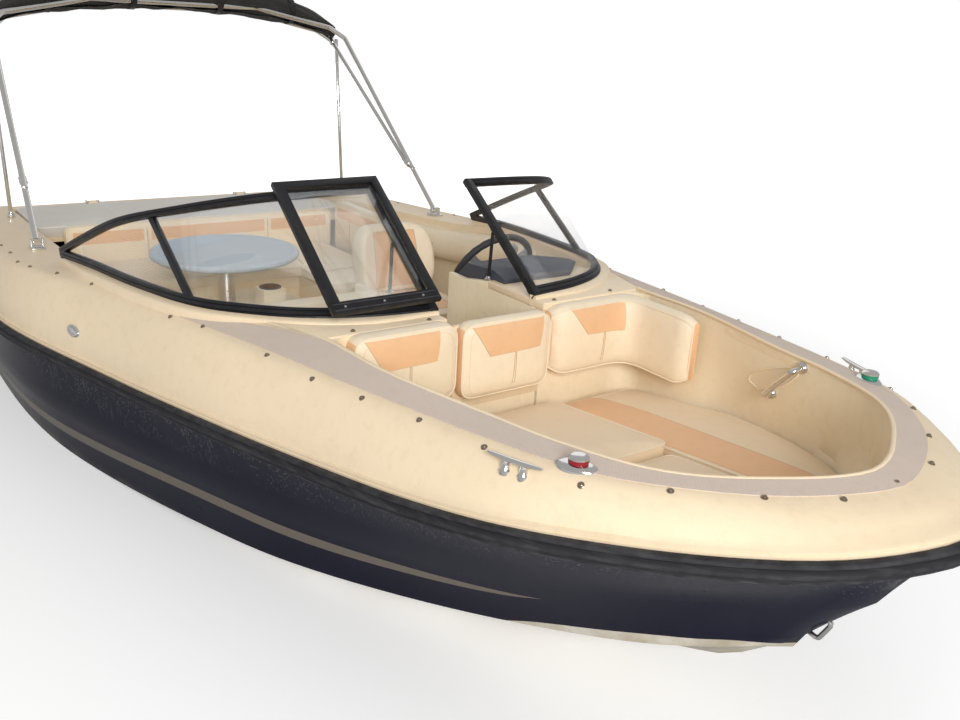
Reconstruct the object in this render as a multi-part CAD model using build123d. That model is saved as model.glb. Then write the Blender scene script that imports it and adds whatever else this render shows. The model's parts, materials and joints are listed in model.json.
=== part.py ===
"""Open-bow runabout with a walk-through windshield, afloat. Millimetres, +X bow,
+Y port, +Z up, origin on the waterline amidships."""

import math
import os

from build123d import *

os.makedirs("parts", exist_ok=True)

# Leading dimensions
TRANSOM_X = -2100.0
FAN_X = 1900.0
SHELL = 22.0
GAP = 0.4
SOLE_Z = 60.0
SOLE_T = 20.0
PLATFORM_END_X = -2640.0
PLATFORM_Z = 395.0
PLATFORM_T = 70.0
TUBE_D = 25.4
TILT_AXIS = (-2290.0, 110.0)
STEER_X = -2185.0
SHAFT_X, SHAFT_Z = -2652.0, -560.0

# Half-breadth curves from transom to stem: x, y, z
RAIL = [(-2100, 1150, 445), (-1600, 1175, 450), (-1000, 1178, 460), (-420, 1155, 470), (310, 995, 490),
        (920, 880, 540), (1370, 785, 580), (1740, 718, 630), (2000, 645, 670), (2220, 525, 700),
        (2375, 405, 720), (2490, 280, 735), (2560, 150, 745), (2595, 0, 750)]
SHOULDER = [(-2100, 1050, 590), (-1600, 1085, 620), (-1000, 1095, 652), (-420, 1070, 690), (80, 950, 716),
            (610, 845, 742), (1100, 752, 762), (1490, 672, 774), (1860, 588, 786), (2100, 510, 793),
            (2220, 425, 798), (2345, 295, 800), (2424, 155, 800), (2468, 0, 800)]
INNER = [(-2100, 830, 596), (-1600, 850, 628), (-1000, 865, 660), (-420, 880, 700), (-50, 858, 748),
         (300, 805, 768), (640, 728, 784), (1105, 598, 794), (1410, 580, 796), (1770, 505, 794),
         (1950, 468, 797), (2165, 380, 800), (2300, 220, 803), (2388, 0, 804)]
CHINE = [(-2100, 1075, -25), (-1400, 1090, -20), (-700, 1075, -10), (-300, 1030, 0), (100, 945, 12),
         (600, 810, 40), (1000, 690, 75), (1400, 520, 120), (1750, 350, 175), (2000, 220, 230),
         (2150, 125, 275), (2290, 0, 330)]
TOPMID = [(-2100, 1125, 215), (-1400, 1145, 218), (-700, 1140, 225), (-300, 1100, 235), (100, 1015, 250),
          (600, 890, 280), (1000, 780, 310), (1400, 650, 350), (1750, 520, 400), (2000, 400, 445),
          (2200, 255, 490), (2360, 115, 520), (2455, 0, 530)]
KEEL = [(-2100, -365), (-1000, -375), (0, -365), (700, -320), (1200, -225), (1520, -110), (1760, 20),
        (2000, 125), (2120, 185), (2270, 315)]

SIDE_X = [-2100, -1600, -1000, -420, -50, 310, 640, 920, 1105, 1410, 1650, FAN_X]
FAN_DEG = [75, 60, 46, 34, 22, 11]


def table(rows, x):
    """Straight-line reading of a table whose first column is x."""
    if x <= rows[0][0]:
        return rows[0][1:]
    for a, b in zip(rows, rows[1:]):
        if x <= b[0]:
            t = (x - a[0]) / (b[0] - a[0])
            return tuple(p + t * (q - p) for p, q in zip(a[1:], b[1:]))
    return rows[-1][1:]


def hit(rows, ox, deg):
    """Distance from (ox, 0) to a half-breadth curve along deg from +X, and its height there."""
    a = abs(deg)
    if abs(a - 90) < 1e-6:
        return table(rows, ox)
    c, s = math.cos(math.radians(a)), math.sin(math.radians(a))
    for p, q in zip(rows, rows[1:]):
        dp = (p[0] - ox) * s - p[1] * c
        dq = (q[0] - ox) * s - q[1] * c
        if dp <= 0 <= dq and q[0] > ox:
            t = dp / (dp - dq)
            x, y, z = (u + t * (v - u) for u, v in zip(p, q))
            return (x - ox) * c + y * s, z
    raise ValueError((ox, deg))


def stations(x0, x1):
    """Section planes from the starboard side at x0 round the bow, or along one side only."""
    side = [(x0, 90)] + [(x, 90) for x in SIDE_X if x0 + 1 < x < min(x1, FAN_X) - 1]
    if x1 < FAN_X:
        return side + [(x1, 90)]
    side.append((FAN_X, 90))
    fan = [(FAN_X, d) for d in FAN_DEG]
    half = side + fan
    return [(x, -d) for x, d in half] + [(FAN_X, 0)] + half[::-1]


def station_point(ox, deg, r, z):
    a = math.radians(deg)
    return Vector(ox + r * math.cos(a), r * math.sin(a), z)


def corner(spec, ox, deg):
    """Section corner: curve A, curve B, share of B, offset outward, offset upward."""
    a, b, t, out, up = spec
    ra, za = hit(a, ox, deg)
    rb, zb = hit(b, ox, deg)
    r = ra + t * (rb - ra) + out
    if isinstance(up, tuple):
        z = up[0]
    else:
        z = za + t * (zb - za) + up
    return station_point(ox, deg, r, z)


def facet(points):
    return Face(Wire.make_polygon(points, close=True))


def between(p, q, r, s):
    """One flat face on four corners, or two along the shorter diagonal where they are twisted."""
    if abs((q - p).cross(s - p).normalized().dot((r - p).normalized())) < 1e-7:
        return [facet([p, q, r, s])]
    if (r - p).length <= (s - q).length:
        return [facet([p, q, r]), facet([p, r, s])]
    return [facet([p, q, s]), facet([q, r, s])]


def ruled(rows, ring=False):
    """Solid of flat faces through a run of closed polygons, or round a closed run."""
    n = len(rows[0])
    pairs = list(zip(rows, rows[1:]))
    if ring:
        pairs.append((rows[-1], rows[0]))
        skin = []
    else:
        skin = [facet(rows[0]), facet(rows[-1])]
    for a, b in pairs:
        for k in range(n):
            skin += between(a[k], a[(k + 1) % n], b[(k + 1) % n], b[k])
    return Solid(Shell(skin))


def round_rows(plane, levels, sides):
    """Polygons of (radius, height) about a plane's normal."""
    turn = 2 * math.pi / sides
    return [[plane.from_local_coords(Vector(r * math.cos(k * turn), r * math.sin(k * turn), h))
             for k in range(sides)] for r, h in levels]


def band(profile, places):
    return ruled([[corner(s, ox, deg) for s in profile] for ox, deg in places])


def box(x0, x1, y0, y1, z0, z1):
    return Pos((x0 + x1) / 2, (y0 + y1) / 2, (z0 + z1) / 2) * Box(x1 - x0, y1 - y0, z1 - z0)


def plate(points, z0, z1):
    """Flat plate with a polygon outline in plan."""
    face = make_face(Polyline(*[(x, y) for x, y in points], close=True))
    return Pos(0, 0, z0) * extrude(face, z1 - z0)


def prism_y(points, y0, y1):
    """Prism across the boat with an outline in x and z."""
    rows = [[Vector(x, y, z) for x, z in points] for y in (y0, y1)]
    return ruled(rows)


def starboard(shape):
    return mirror(shape, about=Plane.XZ)


def pin(a, b, d):
    """Round bar for a bearing."""
    a, b = Vector(*a), Vector(*b)
    v = b - a
    return Plane(origin=a, z_dir=v) * Cylinder(d / 2, v.length, align=(Align.CENTER, Align.CENTER, Align.MIN))


def rod(a, b, d, sides=10):
    """Flat-sided bar for what doesn't turn."""
    a, b = Vector(*a), Vector(*b)
    return turned(a, b - a, [(d / 2, 0), (d / 2, (b - a).length)], sides)


def turned(origin, axis, levels, sides=16):
    """Flat-sided turned piece of (radius, height) along an axis."""
    return ruled(round_rows(Plane(origin=origin, z_dir=axis), levels, sides))


def pipe(points, d, bend=60.0, sides=8):
    """Flat-sided tube along a polyline, mitred where each corner is eased in three chords."""
    points = [Vector(*p) for p in points]
    path = [points[0]]
    for a, b, c in zip(points, points[1:], points[2:]):
        u, v = (a - b).normalized(), (c - b).normalized()
        half = math.acos(max(-1.0, min(1.0, u.dot(v)))) / 2
        reach = min(bend / math.tan(half), (a - b).length * 0.45, (c - b).length * 0.45)
        middle = (u + v).normalized() * (reach * (1 / math.cos(half) - math.tan(half)))
        path += [b + u * reach, b + middle, b + v * reach]
    path.append(points[-1])
    way = [(q - p).normalized() for p, q in zip(path, path[1:])]
    first = Plane(origin=path[0], z_dir=way[0])
    row = round_rows(first, [(d / 2, 0)], sides)[0]
    rows = [row]
    for k in range(1, len(path)):
        normal = way[k - 1] + (way[k] if k < len(way) else way[k - 1])
        row = [c + way[k - 1] * ((path[k] - c).dot(normal) / way[k - 1].dot(normal)) for c in row]
        rows.append(row)
    return ruled(rows)


def save(shape, node):
    shape.label = node
    export_step(shape, "parts/" + node + ".step")


# hull
def bottom_rows(inset, raise_z, x_end):
    rows = []
    xs = [x for x in (-2100, -1400, -700, -300, 100, 600, 1000, 1400, 1750, 2000, 2150, 2230) if x < x_end]
    for x in xs + [x_end]:
        yc, zc = table(CHINE, x)
        (zk,) = table(KEEL, x)
        yc = max(yc - inset, 8.0)
        rows.append((x, yc, zc, zk + raise_z))
    return rows


outer = bottom_rows(6.0, 0.0, 2262.0)
inner = bottom_rows(6.0 + SHELL, SHELL + 3.0, 2100.0)
full = ruled([[Vector(x, -yc, zc), Vector(x, -yc * 0.5, (zc + zk) / 2 + 6), Vector(x, 0, zk),
               Vector(x, yc * 0.5, (zc + zk) / 2 + 6), Vector(x, yc, zc), Vector(x, yc, zc + 26),
               Vector(x, -yc, zc + 26)] for x, yc, zc, zk in outer])
hollow = ruled([[Vector(x, -yc, zc + SHELL), Vector(x, -yc * 0.5, (zc + SHELL + zk) / 2 + 6),
                 Vector(x, 0, zk), Vector(x, yc * 0.5, (zc + SHELL + zk) / 2 + 6),
                 Vector(x, yc, zc + SHELL), Vector(x, yc, zc + 90), Vector(x, -yc, zc + 90)]
                for x, yc, zc, zk in inner])
hollow = hollow - box(-2200, TRANSOM_X + 45, -1300, 1300, -600, 300)
bottom = full - hollow
ALL = stations(TRANSOM_X, 9999)
topsides = band([(CHINE, CHINE, 0, 0, 0), (CHINE, TOPMID, 0.5, -6, 0), (TOPMID, TOPMID, 0, 0, 0),
                 (TOPMID, RAIL, 0.5, -4, 0), (RAIL, RAIL, 0, 0, -GAP), (RAIL, RAIL, 0, -SHELL - 14, -GAP),
                 (TOPMID, RAIL, 0.5, -SHELL - 4, 0), (TOPMID, TOPMID, 0, -SHELL, 0),
                 (CHINE, CHINE, 0, -SHELL - 12, 24), (CHINE, CHINE, 0, -SHELL - 12, 6)], ALL)
yr, zr = table(RAIL, TRANSOM_X)
ym, zm = table(TOPMID, TRANSOM_X)
yc, zc = table(CHINE, TRANSOM_X)
transom = ruled([[Vector(x, -yr, zr - GAP), Vector(x, -ym, zm), Vector(x, -yc, zc), Vector(x, yc, zc),
                  Vector(x, ym, zm), Vector(x, yr, zr - GAP)] for x in (TRANSOM_X, TRANSOM_X + 45)])
bearers = [box(-2050, -1504, y0, y0 + 60, -264, -180.3) for y0 in (-320, 260)]
hull = bottom.fuse(topsides, transom, *bearers)
save(hull, "hull")


# rub rail
rail_ring = band([(RAIL, RAIL, 0, GAP, 8), (RAIL, RAIL, 0, 22, 2), (RAIL, RAIL, 0, 29, -14),
                  (RAIL, RAIL, 0, 21, -33), (TOPMID, RAIL, 0.85, GAP, 0),
                  (RAIL, RAIL, 0, GAP, -GAP)], ALL)
rail_stern = box(TRANSOM_X - 28, TRANSOM_X - GAP, -1150 - 24, 1150 + 24, zr - 34, zr + 4)
rail_ends = [box(TRANSOM_X - 28, TRANSOM_X + 6, y0, y0 + 20, zr - 28, zr - 2) for y0 in (-1173, 1153)]
save(rail_ring.fuse(rail_stern, *rail_ends) - hull, "rub_rail")

# deck moulding
ring = band([(RAIL, RAIL, 0, -3, 0), (RAIL, SHOULDER, 0.5, 12, 8), (RAIL, SHOULDER, 0.85, 13, 2),
             (SHOULDER, SHOULDER, 0, 0, 0), (INNER, INNER, 0, 0, 0), (INNER, INNER, 0, 0, -34),
             (INNER, INNER, 0, 20, -34), (INNER, INNER, 0, 22, -22), (SHOULDER, SHOULDER, 0, -12, -24),
             (RAIL, SHOULDER, 0.5, -14, 0), (RAIL, RAIL, 0, -26, 0)], ALL)


def end_plate(side, x0, x1):
    pts = [(1147, 445), (1112, 525), (1078, 570), (1050, 590), (835, 594), (835, 445)]
    return ruled([[Vector(x, side * y, z) for y, z in pts] for x in (x0, x1)])


ends = [end_plate(s, TRANSOM_X, TRANSOM_X + 26) for s in (-1, 1)]
stern_wall = prism_y([(-2100, 445), (-2074, 445), (-2066, 566), (-2045, 570), (-2045, 594), (-2088, 592)],
                     -842, 842)
console_top = plate([(800, 184), (1105.6, 184), (1105.6, 606), (800, 696)], 764, 790)
LID_HINGES = (-420.0, 420.0)
lugs = []
for y in LID_HINGES:
    lugs += [box(-2062, -2037, y - 36, y - 24, 588, 608), box(-2062, -2037, y + 24, y + 36, 588, 608),
             Pos(-2043, y, 602) * Rot(90, 0, 0) * Cylinder(3, 70)]
deck = ring.fuse(*ends, stern_wall, console_top, starboard(console_top), *lugs) - hull - rail_ring
save(deck, "deck")

# bow well
BOW = stations(1113.0, 9999)
LINER_LOW = [(1105, 560, 384), (1410, 510, 384), (1650, 450, 384), (1900, 370, 384), (2050, 258, 384),
             (2160, 150, 384), (2230, 60, 384), (2255, 0, 384)]
liner = band([(INNER, INNER, 0, -GAP, -1), (INNER, LINER_LOW, 0.2, 0, (560,)),
              (LINER_LOW, LINER_LOW, 0, 0, 0), (LINER_LOW, LINER_LOW, 0, -18, 0),
              (INNER, LINER_LOW, 0.2, -18, (560,)), (INNER, INNER, 0, -18, -1)], BOW)
low = [(x, y - 17) for x, y, z in LINER_LOW[1:-1]]
base_pts = [(1113, 555)] + [(x, y + 12) for x, y in low] + [(2246, 0)]
seat_base = plate(base_pts + [(x, -y) for x, y in base_pts[-2::-1]], 378, 394)
bow_liner = liner.fuse(seat_base) - deck - hull
save(bow_liner, "bow_liner")
bead = band([(INNER, INNER, 0, -16, 0), (INNER, INNER, 0, -13, 9), (INNER, INNER, 0, -4, 11),
             (INNER, INNER, 0, 4, 6), (INNER, SHOULDER, 0.08, 0, GAP), (INNER, INNER, 0, -GAP, GAP)], BOW)
save(bead - deck - bow_liner, "bow_rim_bead")
strip = band([(INNER, SHOULDER, 0.10, 0, GAP), (INNER, SHOULDER, 0.10, 0, 3.4),
              (INNER, SHOULDER, 0.80, 0, 3.4), (INNER, SHOULDER, 0.80, 0, GAP)], stations(1000.0, 9999))
save(strip - deck, "nonskid_strip")


def cushion(bottom_xy, top_xy, z0, zt, slope=0.0, x_ref=1250.0):
    """Tapered pad between a level bottom outline and a top outline that rises forward."""
    mid = [Vector(x, y, zt - 22 + slope * (x - x_ref)) for x, y in top_xy]
    cx = sum(p[0] for p in top_xy) / len(top_xy)
    cy = sum(p[1] for p in top_xy) / len(top_xy)
    top = []
    for x, y in top_xy:
        d = math.hypot(x - cx, y - cy)
        k = (d - 16) / d
        top.append(Vector(cx + (x - cx) * k, cy + (y - cy) * k, zt + slope * (cx + (x - cx) * k - x_ref)))
    return ruled([[Vector(x, y, z0) for x, y in bottom_xy], mid, top])


far_low = [(1190, 195), (2085, 195), (2078, 205), (2030, 246), (1900, 344), (1650, 424), (1410, 484),
           (1190, 518)]
far_top = [(1190, 195), (2245, 195), (2190, 292), (2080, 366), (1900, 430), (1650, 480), (1410, 520),
           (1190, 530)]
save(cushion(far_low, far_top, 394.3, 490, 0.107) - liner, "bow_cushion_port")
near_low = [(1190, 189), (1680, 189), (1680, -180), (1680, -410), (1410, -484), (1190, -518)]
near_top = [(1190, 189), (1690, 189), (1680, -180), (1660, -470), (1410, -520), (1190, -530)]
save(cushion(near_low, near_top, 394.3, 512, 0.107) - liner, "bow_cushion_aft")
fwd_low = [(1700, 189), (2080, 189), (2088, -189), (2030, -246), (1900, -344), (1700, -406)]
fwd_top = [(1700, 189), (2245, 189), (2245, -195), (2080, -366), (1900, -430), (1700, -466)]
save(cushion(fwd_low, fwd_top, 394.3, 482, 0.107) - liner, "bow_cushion_forward")

# consoles and bulkhead
FLOOR_TOP = SOLE_Z + SOLE_T


def console():
    front = ruled([[Vector(x, 184, FLOOR_TOP), Vector(x, 490, FLOOR_TOP), Vector(x, 575, 240),
                    Vector(x, 575, 759.6), Vector(x, 184, 763.6)] for x in (1086, 1105.6)])
    side = box(560, 1087, 184, 202, SOLE_Z + SOLE_T, 763.6)
    aft = box(560, 578, 184, 690, SOLE_Z + SOLE_T, 600)
    top = prism_y([(560, 590), (578, 590), (640, 735), (799.6, 764), (799.6, 788), (625, 757)], 184, 640)
    return front.fuse(side, aft, top)


helm_console = console()
save(helm_console, "helm_console")
panel = prism_y([(566.9, 608.8), (614.1, 730.0), (606.6, 732.9), (559.4, 611.7)], 235, 615)
save(panel, "instrument_panel")
HOOD = [(590, 735), (617.4, 739), (624.6, 757.7), (799.2, 788.7), (799.2, 790.6), (865, 790.6), (865, 806),
        (800, 824), (640, 815), (588, 765)]
HOOD_SIDE = [(610, 742), (617.2, 741), (624.4, 758), (700, 771.6), (714, 790.8), (734, 791.4), (740, 798),
             (700, 800), (650, 794), (612, 768)]
hood = ruled([[Vector(x, y, z) for x, z in o] for y, o in ((206, HOOD), (500, HOOD), (638, HOOD_SIDE))])
save(hood - helm_console - panel - deck, "dash_hood")

# walk-through door and backrests
HINGE_AT = (1110.0, -177.5)
door = box(1109, 1124, -171, 166, 500, 770)
side_console = starboard(helm_console)
for z0, z1 in ((540, 580), (690, 730)):
    knuckle = Pos(*HINGE_AT, (z0 + z1) / 2) * Cylinder(5.5, z1 - z0)
    arm = box(1109, 1114, HINGE_AT[1], -168, z0, z1)
    for q0, q1 in ((z0 - 22, z0 - 2), (z1 + 2, z1 + 22)):
        side_console = side_console.fuse(box(1099, HINGE_AT[0] + 3, -185.6, HINGE_AT[1] - 3, q0, q1),
                                         Pos(*HINGE_AT, (q0 + q1) / 2) * Cylinder(5, q1 - q0))
        door = door - box(1100, 1126, -172, -164, q0 - 4, q1 + 4)
    door = door.fuse(knuckle, arm) - Pos(*HINGE_AT, (z0 + z1) / 2) * Cylinder(3.3, 80)
    side_console = side_console.fuse(Pos(*HINGE_AT, (z0 + z1) / 2) * Cylinder(3, z1 - z0 + 20))
save(door, "bow_door")
save(side_console, "companion_console")


def backrest(y0, y1, z0, z1, x0, t=58):
    """Pad standing on a flat back at x0, its front edge eased all round."""

    def outline(low, high, inset):
        return [Vector(low, y0 + inset, z0 + inset), Vector(low, y1 - inset, z0 + inset),
                Vector(high, y1 - inset, z1 - inset), Vector(high, y0 + inset, z1 - inset)]

    return ruled([outline(x0, x0, 0), outline(x0 + t - 14, x0 + t - 20, 0), outline(x0 + t, x0 + t - 8, 14)])


save(backrest(-171 + 3, 163, 548, 782, 1124), "bow_backrest_door")
save(backrest(-525, -186, 566, 790, 1106.4, 70), "bow_backrest_starboard")
FAR_BACK = [((1106.4, 186), (1176, 186)), ((1106.4, 480), (1176, 460)), ((1110, 545), (1188, 492)),
            ((1150, 566), (1215, 508)), ((1330, 560), (1330, 506)), ((1440, 548), (1440, 498))]
wrap = ruled([[Vector(*o, 556), Vector(*i, 556), Vector(*i, 768), Vector(*o, 782)] for o, i in FAR_BACK])
wrap = wrap - bow_liner - helm_console - deck
save(wrap.solids().sort_by(SortBy.VOLUME)[-1], "bow_backrest_port")

# windshield
# base point and top point pairs from the centre opening to the aft tip
PANE = [((1048, 184, 800), (634, 182, 1107)), ((1010, 390, 798), (640, 400, 1106)),
        ((935, 555, 796), (606, 548, 1095)), ((800, 690, 790), (525, 655, 1070)),
        ((640, 772, 778), (400, 735, 1034)), ((300, 852, 760), (150, 850, 960)),
        ((-50, 903, 746), (-130, 902, 852)), ((-350, 937, 722), (-372, 935, 752))]
PANE = [(Vector(*b), Vector(*t)) for b, t in PANE]


def pane_axes(i):
    b, t = PANE[i]
    d = (t - b).normalized()
    a = PANE[max(i - 1, 0)][0]
    c = PANE[min(i + 1, len(PANE) - 1)][0]
    n = (c - a).cross(d).normalized()
    return b, t, d, n


def pane_strip(a0, a1, n0, n1, from_top=False, first=0, last=7):
    rows = []
    for i in range(first, last + 1):
        b, t, d, n = pane_axes(i)
        o = t if from_top else b
        rows.append([o + d * a0 + n * n0, o + d * a1 + n * n0, o + d * a1 + n * n1, o + d * a0 + n * n1])
    return ruled(rows)


bottom_rail = pane_strip(-4, 34, -11, 11)
top_rail = pane_strip(-22, 0, -11, 11, True, 0, 6)
b, t, d, n = pane_axes(0)
inner_post = ruled([[o + n * -12, o + n * 12, o + n * 12 + Vector(0, 26, 0), o + n * -12 + Vector(0, 26, 0)]
                    for o in (b - d * 2, t)])
mb, mt = PANE[4][0] * 0.42 + PANE[5][0] * 0.58, PANE[4][1] * 0.42 + PANE[5][1] * 0.58
_, _, d, n = pane_axes(5)
axis = (mt - mb).normalized()
side_dir = axis.cross(n).normalized()
mullion = ruled([[o + n * -9 + side_dir * -11, o + n * 9 + side_dir * -11, o + n * 9 + side_dir * 11,
                  o + n * -9 + side_dir * 11] for o in (mb + axis * 6, mt - axis * 4)])
b6, t6, d6, n6 = pane_axes(6)
b7, t7, d7, n7 = pane_axes(7)
tip = ruled([[t6 - d6 * 22 - n6 * 11, t6 - n6 * 11, t6 + n6 * 11, t6 - d6 * 22 + n6 * 11],
             [b7 - d6 * 4 - n6 * 11, b7 + d6 * 18 - n6 * 11, b7 + d6 * 18 + n6 * 11, b7 - d6 * 4 + n6 * 11]])
frame = bottom_rail.fuse(top_rail, inner_post, mullion, tip) - deck
near_frame = starboard(frame)
glass_rows = []
for i in range(0, 7):
    b, t, d, n = pane_axes(i)
    length = (t - b).length
    lo, hi = b + d * 34.3, b + d * (length - 22.3)
    if i == 0:
        lo, hi = lo + Vector(-2, 27, 0), hi + Vector(0, 27, 0)
    glass_rows.append([lo + n * -2.5, hi + n * -2.5, hi + n * 2.5, lo + n * 2.5])
glass = ruled(glass_rows) - frame
save(Compound(children=glass.solids() + starboard(glass).solids()), "windshield_glass")

# centre windshield door, folded forward over the starboard pane
HINGE_LOW, HINGE_HIGH = Vector(1052, -182, 818), Vector(645, -181, 1118)
hinge_dir = (HINGE_HIGH - HINGE_LOW).normalized()
fold = Vector(-0.026, -1.0, 0.0)
fold = (fold - hinge_dir * fold.dot(hinge_dir)).normalized()
lift = fold.cross(hinge_dir).normalized()
if lift.Z < 0:
    lift = lift * -1
DOOR_W, DOOR_L = 358.0, (HINGE_HIGH - HINGE_LOW).length
base_o = HINGE_LOW + lift * 20


def door_bar(u0, u1, v0, v1, t=16.0):
    pts = [(u0, v0), (u1, v0), (u1, v1), (u0, v1)]
    return ruled([[base_o + fold * u + hinge_dir * v + lift * k for u, v in pts] for k in (0, t)])


def hinge_block(u0, u1, v0, v1, k0, k1):
    pts = [(u0, v0), (u1, v0), (u1, v1), (u0, v1)]
    return ruled([[HINGE_LOW + fold * u + hinge_dir * v + lift * k for u, v in pts] for k in (k0, k1)])


def hinge_rod(v0, v1, r):
    return pin(HINGE_LOW + hinge_dir * v0, HINGE_LOW + hinge_dir * v1, 2 * r)


ws_frame = door_bar(4, 30, 0, DOOR_L).fuse(
    door_bar(DOOR_W - 34, DOOR_W, 0, DOOR_L), door_bar(4, DOOR_W, 0, 40),
    door_bar(4, DOOR_W, DOOR_L - 26, DOOR_L))
for v in (60.0, 390.0):
    ws_frame = ws_frame.fuse(hinge_rod(v, v + 60, 4.1), hinge_block(0, 8, v, v + 60, 0, 30))
    ws_frame = ws_frame - hinge_rod(v - 5, v + 65, 2.5)
    for w in (v - 26, v + 64):
        near_frame = near_frame.fuse(hinge_block(-4, 10, w, w + 22, -12, 4))
    near_frame = near_frame.fuse(hinge_rod(v - 26, v + 86, 2.2))
save(Compound(children=[frame, near_frame]), "windshield_frame")
pts = [(30.3, 40.3), (DOOR_W - 34.3, 40.3), (DOOR_W - 34.3, DOOR_L - 26.3), (30.3, DOOR_L - 26.3)]
ws_glass = ruled([[base_o + fold * u + hinge_dir * v + lift * k for u, v in pts] for k in (5.5, 10.5)])
save(ws_frame, "windshield_door_frame")
save(ws_glass, "windshield_door_glass")
strut = rod((785, 197, 790.2), (797, 197, 978), 12) - frame
save(Compound(children=[strut, starboard(strut)]), "windshield_struts")

# helm controls
WHEEL_C = Vector(398, 500, 690)
wheel_axis = Vector(-155, 0, 78).normalized()
wheel_plane = Plane(origin=WHEEL_C, z_dir=wheel_axis)
RIM_R, RIM_T, RIM_CHORDS = 176.0, 14.0, 28
rim_rows = []
for k in range(RIM_CHORDS):
    out = wheel_plane.from_local_coords(Vector(math.cos(2 * math.pi * k / RIM_CHORDS),
                                               math.sin(2 * math.pi * k / RIM_CHORDS), 0)) - WHEEL_C
    section = Plane(origin=WHEEL_C + out * RIM_R, x_dir=out, z_dir=out.cross(wheel_axis))
    rim_rows += round_rows(section, [(RIM_T, 0)], 8)
rim_ring = ruled(rim_rows, ring=True)
spokes = [wheel_plane * Rot(0, 0, a) * Pos(88, 0, -8) * Box(166, 26, 7) for a in (90, 215, 325)]
hub = ruled(round_rows(wheel_plane, [(34, -44), (34, -4)], 18))
wheel = rim_ring.fuse(*spokes, hub)
save(wheel, "steering_wheel")
col_start = WHEEL_C - wheel_axis * 44.4
column = rod(col_start, WHEEL_C - wheel_axis * 200, 46, 14) - panel - helm_console
save(column.solids().sort_by(Axis.X)[0], "steering_column")

# cockpit
sole = plate([(-1470, -640), (-1470, 640), (400, 640), (1104, 490), (1104, -490), (400, -640)],
             SOLE_Z, FLOOR_TOP - GAP)


def side_wall(side):
    rows = []
    for x in (-2052, -1600, -1000, -420, -50, 310, 556):
        y, z = table(INNER, x)
        pts = [(y + 2, z - 34.6), (y + 20, z - 34.6), (y + 4, 330), (650, 64), (626, 64), (y - 16, 330)]
        rows.append([Vector(x, side * p, q) for p, q in pts])
    return ruled(rows)


liner_sides = sole.fuse(side_wall(1), side_wall(-1))
save(liner_sides, "cockpit_liner")


def pad(x0, x1, y0, y1, z0, z1, r=14.0):
    """Cushion block with eased edges."""
    b = box(x0, x1, y0, y1, z0, z1)
    return chamfer(b.edges(), min(0.8 * r, (z1 - z0) * 0.4, (x1 - x0) * 0.4))


def bolster(side):
    rows = []
    for x in (-1300, -900, -420, -50, 300):
        y, z = table(INNER, x)
        t = lambda q: y + 2 - 18 * (z - 34.6 - q) / (z - 34.6 - 330)
        pts = [(t(z - 40) - 1, z - 40), (y - 58, z - 48), (y - 64, z - 150), (y - 44, z - 180),
               (t(z - 180) - 1, z - 180)]
        rows.append([Vector(x, side * p, q) for p, q in pts])
    return ruled(rows)


side_pads = [bolster(side) - liner_sides for side in (1, -1)]
bolsters = Compound(children=[p.solids().sort_by(SortBy.VOLUME)[-1] for p in side_pads])
save(bolsters, "side_bolsters")
bench_box = box(-1440, -980, -600, 600, FLOOR_TOP, 372)
save(pad(-1400, -940, -640, 640, 372.4, 440), "bench_cushion")
save(pad(-1471, -1400.3, -700, 700, 385, 600, 20), "bench_backrest")
lounge_box = box(-976, -560, 300, 600, FLOOR_TOP, 372)
save(Compound(children=[bench_box, lounge_box]), "seat_bases")
save(pad(-936, -560, 290, 700, 372.4, 440), "lounge_cushion")
save(pad(-1380, -560, 700.3, 770, 376, 650, 20), "lounge_backrest")
LID_X, LID_Z = -2043.0, 602.0
hatch = plate([(-2040, -822), (-2040, 822), (-1490, 838), (-1490, -838)], 522, 545)
for y in LID_HINGES:
    hatch = hatch.fuse(box(-2039, -2032, y - 22, y + 22, 530, 606),
                       Pos(LID_X, y, LID_Z) * Rot(90, 0, 0) * Cylinder(6.5, 44))
    hatch = hatch - Pos(LID_X, y, LID_Z) * Rot(90, 0, 0) * Cylinder(3.3, 80)
save(hatch, "engine_hatch")
save(pad(-2031, -1490, -812, 812, 545.4, 612, 18), "sunpad")
save(box(-1502, -1484, -610, 610, -125, 521.6), "engine_bulkhead")
SEAT_X, SEAT_Y = -120.0, 450.0
seat_at = Vector(SEAT_X, SEAT_Y, FLOOR_TOP)
save(turned(seat_at, (0, 0, 1), [(115, 0), (115, 12), (36, 12), (36, 270)], 20), "helm_pedestal")
seat_pan = turned(seat_at + Vector(0, 0, 270.4), (0, 0, 1), [(90, 0), (90, 16)], 20)
save(seat_pan, "helm_swivel_plate")
save(pad(SEAT_X - 200, SEAT_X + 210, SEAT_Y - 205, SEAT_Y + 205, FLOOR_TOP + 286.8, 450, 22),
     "helm_seat_cushion")
back_rows = []
for z, x, w, t in ((450.4, -198, 176, 78), (560, -222, 196, 84), (670, -242, 192, 78), (745, -252, 150, 56)):
    back_rows.append([Vector(SEAT_X + x + dx, SEAT_Y + dy, z) for dx, dy in (
        (0, -w), (t + 44, -w - 4), (t + 30, -w + 46), (t, 0), (t + 30, w - 46), (t + 44, w + 4), (0, w),
        (-18, 0))])
save(ruled(back_rows), "helm_seat_back")
TABLE = (-790.0, -150.0, 585.0)
TABLE_R, TABLE_T = 335.0, 34.0
save(ruled(round_rows(Plane(TABLE), [(TABLE_R - 10, -TABLE_T), (TABLE_R, -TABLE_T + 10), (TABLE_R, -10),
                                     (TABLE_R - 10, 0)], 48)), "table_top")
leg = [(140, 0), (140, 14), (38, 14), (38, TABLE[2] - TABLE_T - GAP - FLOOR_TOP)]
save(turned((TABLE[0], TABLE[1], FLOOR_TOP), (0, 0, 1), leg, 20), "table_pedestal")
CUP_X, CUP_Y, CUP_TOP, CUP_R = -390.0, -105.0, 500.0, 38.0
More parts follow.
